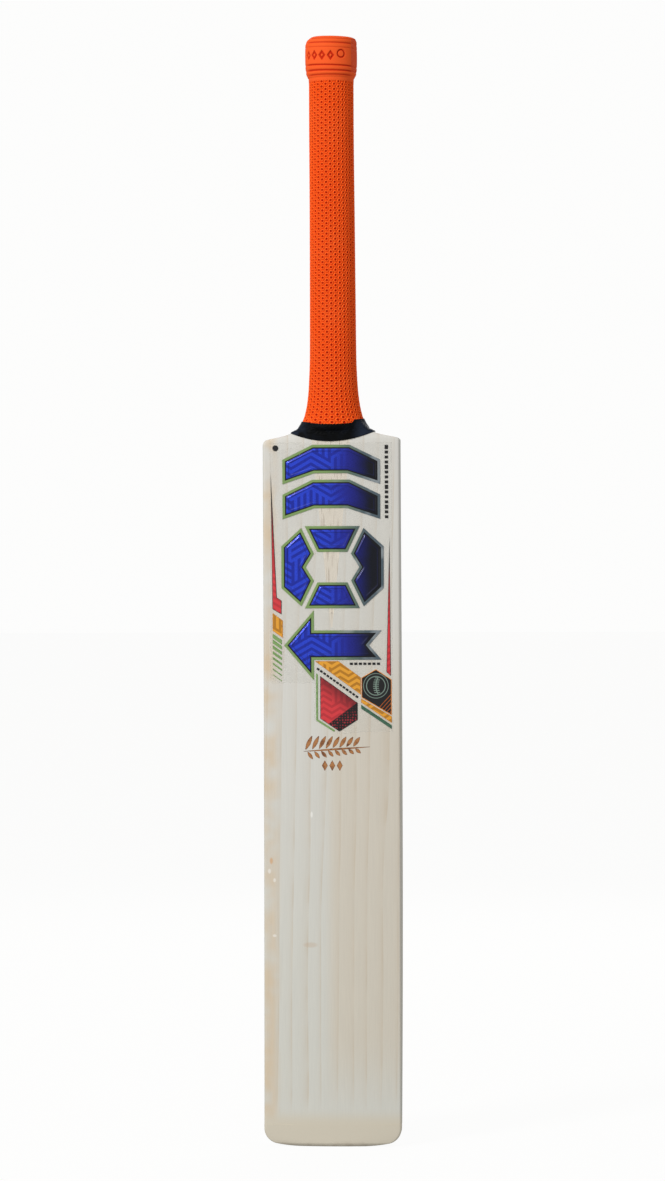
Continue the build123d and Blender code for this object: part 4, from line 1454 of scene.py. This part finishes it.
@dataclass
class Graphics:
    """Everything stuck to or marked on the face. Places are (x, z) in millimetres."""

    effects: Effects
    form: WillowForm
    film_front: float = 0.2
    film_gap: float = 0.02
    middle_z: float = 448.8
    middle_x: float = 0.8

    def build(self) -> None:
        """Film, emblems, prints and burnt marks."""
        self.build_film()
        self.build_emblems()
        self.build_prints()
        self.build_burnt_marks()

    def build_film(self) -> None:
        """The clear film under the prints."""
        label = FaceLabel(self.form, CLEAR_FILM, self.film_gap, 4.0)
        outline = ((-47.6, 545.4), (47.2, 545.4), (47.2, 321.0), (24.0, 321.0), (6.0, 319.6),
                   (-13.6, 329.6), (-13.6, 359.0), (-47.6, 359.0))
        film = FilmFinish("clear_film", self.effects).made()
        label.piece("face_sheet", [label.shape(outline, (0.0, 400.0))], film, "film", ["face_film"])

    def build_emblems(self) -> None:
        """Two stacked chevrons, a ring of four pads and a notched dart, all domed."""
        label = FaceLabel(self.form, DOMED, self.film_front)
        foil = EmblemFinish("blue_foil", self.effects).made()
        chevrons = []
        for base in (486.0, 513.0):
            corners = ((-37.8, base), (-13.0, base + 8.5), (12.5, base + 8.5), (38.0, base),
                       (38.0, base + 19.0), (14.5, base + 30.5), (-14.5, base + 30.5), (-37.8, base + 19.0))
            chevrons.append(label.shape(corners, (0.0, base + 19.5)))
        label.piece("crest_upper", chevrons, foil, "emblem_blue", ["emblem_upper"])
        pads = []
        for turn in (-1, 1):
            outer, inner = self.middle_z + turn * 31.8, self.middle_z + turn * 11.8
            corners = ((-20.6, outer), (22.0, outer), (12.4, inner), (-10.9, inner))
            pads.append(label.shape(corners, (self.middle_x, self.middle_z + turn * 23.0)))
            side = ((24.2, 30.4), (39.7, 16.2), (39.7, -16.2), (24.2, -30.4), (14.4, -10.4), (20.8, 0.0),
                    (14.4, 10.4))
            corners = tuple((self.middle_x + turn * x, self.middle_z + z) for x, z in side)
            pads.append(label.shape(corners, (self.middle_x + turn * 30.0, self.middle_z)))
        label.piece("crest_middle", pads, foil, "emblem_blue", ["emblem_middle"])
        dart = ((-37.0, 388.2), (-13.8, 415.4), (-13.8, 399.8), (38.8, 399.8), (29.0, 388.4), (38.8, 377.0),
                (-13.8, 377.0), (-13.8, 361.0))
        label.piece("crest_lower", [label.shape(dart, (-20.0, 388.3))], foil, "emblem_blue",
                    ["emblem_lower"])

    def build_prints(self) -> None:
        """Flat coloured shapes."""
        label = FaceLabel(self.form, FLAT_PRINT, self.film_front)
        kinds = (("red", PrintFinish, Print.RED, 0.35), ("gold", PrintFinish, Print.GOLD, 0.35),
                 ("green", PrintFinish, Print.GREEN, 0.0), ("dark_green", PrintFinish, Print.DARK_GREEN, 0.0),
                 ("black", PrintFinish, Print.BLACK, 0.0), ("shield", ShieldFinish, Print.RED, 0.35),
                 ("badge", BadgeFinish, Print.BADGE, 0.4))
        red, gold, green, dark_green, black, shield, badge = (
            kind(f"print_{name}", self.effects, scheme, key).made() for name, kind, scheme, key in kinds)
        plain = (
            ("streak_left", "streak_left", red, "print_red", (-43.2, 418.5),
             ((-47.0, 521.4), (-42.6, 425.5), (-38.9, 423.0), (-38.9, 412.2), (-46.0, 416.4))),
            ("streak_right", "streak_right", red, "print_red", None,
             ((45.0, 472.0), (45.8, 364.4), (42.4, 367.4))),
            ("gold_chevron", "chevron_gold", gold, "print_gold", None,
             ((-45.9, 413.4), (-38.0, 407.4), (-38.0, 394.0), (-45.9, 399.6))),
            ("black_badge", "badge_hex", badge, "print_black", (34.5, 355.0),
             ((23.0, 363.0), (34.2, 369.6), (46.3, 361.6), (46.3, 334.0), (23.0, 347.8))),
            ("red_shield", "shield_red", shield, "print_red", None,
             ((-9.0, 364.4), (20.0, 343.6), (20.0, 330.4), (5.8, 321.4), (-9.0, 331.4))),
            ("green_bracket", "bracket_green", green, "print_green", (-11.5, 330.3),
             ((-12.2, 366.6), (-10.8, 365.6), (-10.8, 330.8), (2.4, 322.4), (1.6, 321.2), (-12.2, 330.0))),
            ("dark_green_bar", "bar_dark_green", dark_green, "print_green", None,
             ((22.7, 342.2), (46.4, 326.2), (46.4, 323.2), (22.7, 339.2))),
        )
        for name, node, material, slot, centre, corners in plain:
            label.piece(f"{name}_print", [label.shape(corners, centre)], material, slot, [node])
        upper_gold = ((-13.1, 376.0), (5.2, 376.0), (22.4, 363.3), (22.4, 350.0))
        lower_gold = ((22.7, 347.0), (46.4, 333.0), (46.4, 328.0), (22.7, 344.0))
        golds = [label.shape(upper_gold, (14.0, 364.5)), label.shape(lower_gold)]
        label.piece("gold_bands_print", golds, gold, "print_gold", ["band_gold"])
        label.piece("green_ladder_print", self.ladder(label), green, "print_green", ["ladder_green"])
        turn = all_round(32)
        circle = np.stack([-43.2 + 2.3 * np.cos(turn), 541.0 + 2.3 * np.sin(turn)], axis=1)
        label.piece("black_dot_print", [label.shape(circle)], black, "print_black", ["dot_black"])
        label.piece("dashes_print", self.dashes(label), black, "print_black", ["tick_marks"])

    @staticmethod
    def ladder(label: FaceLabel) -> list[Surface]:
        """Eight slanted bars that thin out towards the toe."""
        bars, count = [], 8
        thin = FaceLabel(label.form, Profile((0.0, 0.02, 0.12), (0.0, 0.14, 0.15)), label.layer)
        for i in range(count):
            left, right, thick = 397.4 - 4.5 * i, 392.4 - 4.5 * i, 3.4 - 2.7 * i / (count - 1)
            bars.append(thin.shape(((-45.9, left), (-38.8, right), (-38.8, right - thick),
                                    (-45.9, left - thick))))
        return bars

    @staticmethod
    def dashes(label: FaceLabel) -> list[Surface]:
        """A column of plain dashes, a short row of them and one that slants along the gold band."""
        def dash(x: float, z: float, wide: float, tall: float, turn: float = 0.0) -> Surface:
            """One rectangle, turned in the front view."""
            c, s = math.cos(turn), math.sin(turn)
            halves = [(a * wide / 2, b * tall / 2) for a, b in ((-1, -1), (1, -1), (1, 1), (-1, 1))]
            return label.shape([(x + a * c - b * s, z + a * s + b * c) for a, b in halves])
        slant = math.atan2(-22.5, 31.6)
        made = [dash(42.9, 541.6 - 3.85 * i, 2.6, 2.2 if i % 4 else 3.2) for i in range(15)]
        made += [dash(15.2 + 3.5 * i, 373.9, 2.4, 1.8) for i in range(7)]
        return made + [dash(-10.6 + 2.5 * i, 369.8 - 1.78 * i, 2.2, 1.6, slant) for i in range(13)]

    def build_burnt_marks(self) -> None:
        """A leafy sprig, its leaves on both sides of a thin stem, and three diamonds below it."""
        label = FaceLabel(self.form, BURN, 0.0, 1.5)
        strokes = [self.leaf(label, (-22.0, 306.0), (29.5, 309.5), 0.75)]
        for i in range(8):
            x, z = -20.5 + 5.3 * i, 307.4 + 0.36 * i
            strokes.append(self.leaf(label, (x, z), (x + 5.0, z + 10.6 - 0.5 * i), 1.6))
            strokes.append(self.leaf(label, (x + 1.6, z - 1.9), (x + 5.6, z - 7.4 + 0.3 * i), 1.35))
        for x in (-5.6, 0.2, 6.0):
            strokes.append(label.shape(((x - 2.3, 295.0), (x, 290.8), (x + 2.3, 295.0), (x, 299.2))))
        burnt = BurntFinish("burnt_marks", self.effects).made()
        label.piece("burnt_marks", strokes, burnt, "willow", [])

    @staticmethod
    def leaf(label: FaceLabel, start: Place2, end: Place2, wide: float) -> Surface:
        """A stroke whose half width is a sine along it, with blunt ends."""
        t = np.linspace(0, 1, 15)[:, None]
        a, b = np.array(start), np.array(end)
        along = (b - a) / np.linalg.norm(b - a)
        side = np.array([-along[1], along[0]])
        half = wide * (0.18 + 0.82 * np.sin(np.pi * t))
        line = a + (b - a) * t
        outline = np.concatenate([line + side * half, (line - side * half)[::-1]])
        return label.shape(outline, tuple((a + b) / 2))


# ------------------------------------------------------------------ handle nodes kept from the CAD
@dataclass
class HandleCore:
    """The cane strips, spring sheets and binding, which keep their CAD shapes."""

    effects: Effects

    def dress(self) -> None:
        """Gives each kept node its finish, by the first of the name's beginnings that fits."""
        cork = SpringFinish("spring_cork", self.effects, srgb(176, 130, 84), srgb(116, 78, 46))
        finishes = {
            "cane_": CaneFinish("cane", self.effects).made(),
            "spring_middle": cork.made(),
            "spring_": SpringFinish("spring_rubber", self.effects).made(),
            "twine_binding": TwineFinish("twine", self.effects).made(),
        }
        for name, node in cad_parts.items():
            found = [finish for start, finish in finishes.items() if name.startswith(start)]
            if found and not node.material_slots:
                node.data.materials.append(found[0])
            for place in node.material_slots if found else ():
                place.material = found[0]
        LOG.info("handle core dressed")


# ------------------------------------------------------------------ studio
@dataclass
class Studio:
    """Floor, surroundings, lights and camera.

    Attributes:
        backdrop: colour of the floor's glow and the surroundings.
        ambient: strength of the surroundings as a light.
        floor_glow: strength of the floor's glow as a light.
        floor_seen: strength of the floor's glow as the camera sees it.
        lamps: name, place, aim, power and size of each lamp.
    """

    backdrop: Colour = (0.98, 0.98, 0.975, 1.0)
    ambient: float = 0.52
    floor_glow: float = 0.42
    floor_seen: float = 0.965
    floor_half: float = 40.0
    floor_base: Colour = (0.04, 0.04, 0.04, 1.0)
    lamps: tuple[tuple[str, Place3, Place3, float, float], ...] = (
        ("key", (-2.3, -3.1, 2.4), (0.0, 0.0, 0.25), 134.0, 1.0),
        ("side", (2.6, -0.9, 0.7), (0.0, 0.0, 0.35), 5.0, 1.4),
        ("back", (0.3, 2.2, 1.6), (0.0, 0.0, 0.45), 20.0, 1.4),
    )
    camera_place: Place3 = (0.1994, -3.2535, 0.4307)
    aim: Place3 = (0.0004, 0.0, 0.4307)
    lens: float = 128.0
    roll_degrees: float = -0.15

    def build(self) -> None:
        """Sets everything up."""
        self.build_floor()
        self.build_world()
        for name, place, aim, power, size in self.lamps:
            lamp = bpy.data.lights.new(name, "AREA")
            lamp.energy, lamp.size = power, size
            self.turn(linked(name, lamp), place, aim)
        self.build_camera()
        bpy.context.scene.view_settings.view_transform = "Standard"

    @staticmethod
    def glow(tree: Tree, seen: float, cast: float) -> Signal:
        """Strength that is one value for camera rays and another for the light it casts."""
        return tree.node("LightPath", "Is Camera Ray") * (seen - cast) + cast

    def build_floor(self) -> None:
        """A wide pale floor that partly lights itself, so shadows stay faint."""
        far = self.floor_half
        mesh = bpy.data.meshes.new("floor")
        corners = ((-far, -far, 0.0), (far, -far, 0.0), (far, far, 0.0), (-far, far, 0.0))
        mesh.from_pydata(corners, [], [(0, 1, 2, 3)])
        floor = linked("floor", mesh)
        material = bpy.data.materials.new("floor")
        material.use_nodes = True
        tree = Tree(material.node_tree)
        shader = material.node_tree.nodes["Principled BSDF"]
        values = {"Base Color": self.floor_base, "Roughness": 0.9, "Specular IOR Level": 0.0,
                  "Emission Color": self.backdrop,
                  "Emission Strength": self.glow(tree, self.floor_seen, self.floor_glow)}
        for label, value in values.items():
            tree.feed(shader.inputs[label], value)
        mesh.materials.append(material)

    def build_world(self) -> None:
        """White surroundings, dimmer as a light than as a background."""
        world = bpy.data.worlds.new("studio")
        bpy.context.scene.world = world
        world.use_nodes = True
        tree = Tree(world.node_tree)
        ground = world.node_tree.nodes["Background"]
        tree.feed(ground.inputs["Color"], self.backdrop)
        tree.feed(ground.inputs["Strength"], self.glow(tree, 1.0, self.ambient))

    @staticmethod
    def turn(piece: bpy.types.Object, place: Place3, aim: Place3, roll_degrees: float = 0.0) -> None:
        """Stands a lamp or camera at a place, its -Z towards the aim, rolled about its own view."""
        upright = (Vector(aim) - Vector(place)).to_track_quat("-Z", "Y")
        piece.location = place
        piece.rotation_euler = (upright @ Quaternion((0, 0, 1), math.radians(roll_degrees))).to_euler()

    def build_camera(self) -> None:
        """A long lens from the front, a little to the right."""
        data = bpy.data.cameras.new("camera")
        data.sensor_fit, data.sensor_height, data.lens = "VERTICAL", 36.0, self.lens
        camera = linked("camera", data)
        self.turn(camera, self.camera_place, self.aim, self.roll_degrees)
        bpy.context.scene.camera = camera


def main() -> None:
    """Builds every piece in order."""
    logging.basicConfig(level=logging.INFO, format="%(message)s")
    effects = Effects()
    willow = WillowForm()
    grip = GripForm()
    Blade(effects, willow).build()
    ToeGuard(effects, willow).build()
    rubber = RubberFinish("grip_rubber", effects, grip).made()
    GripSleeve(grip, willow).build(rubber)
    GripCuff(grip).build(rubber)
    ShoulderTape(effects, willow, grip).build()
    Graphics(effects, willow).build()
    HandleCore(effects).dress()
    Studio().build()
    bpy.context.view_layer.update()


if __name__ == "__main__":
    main()
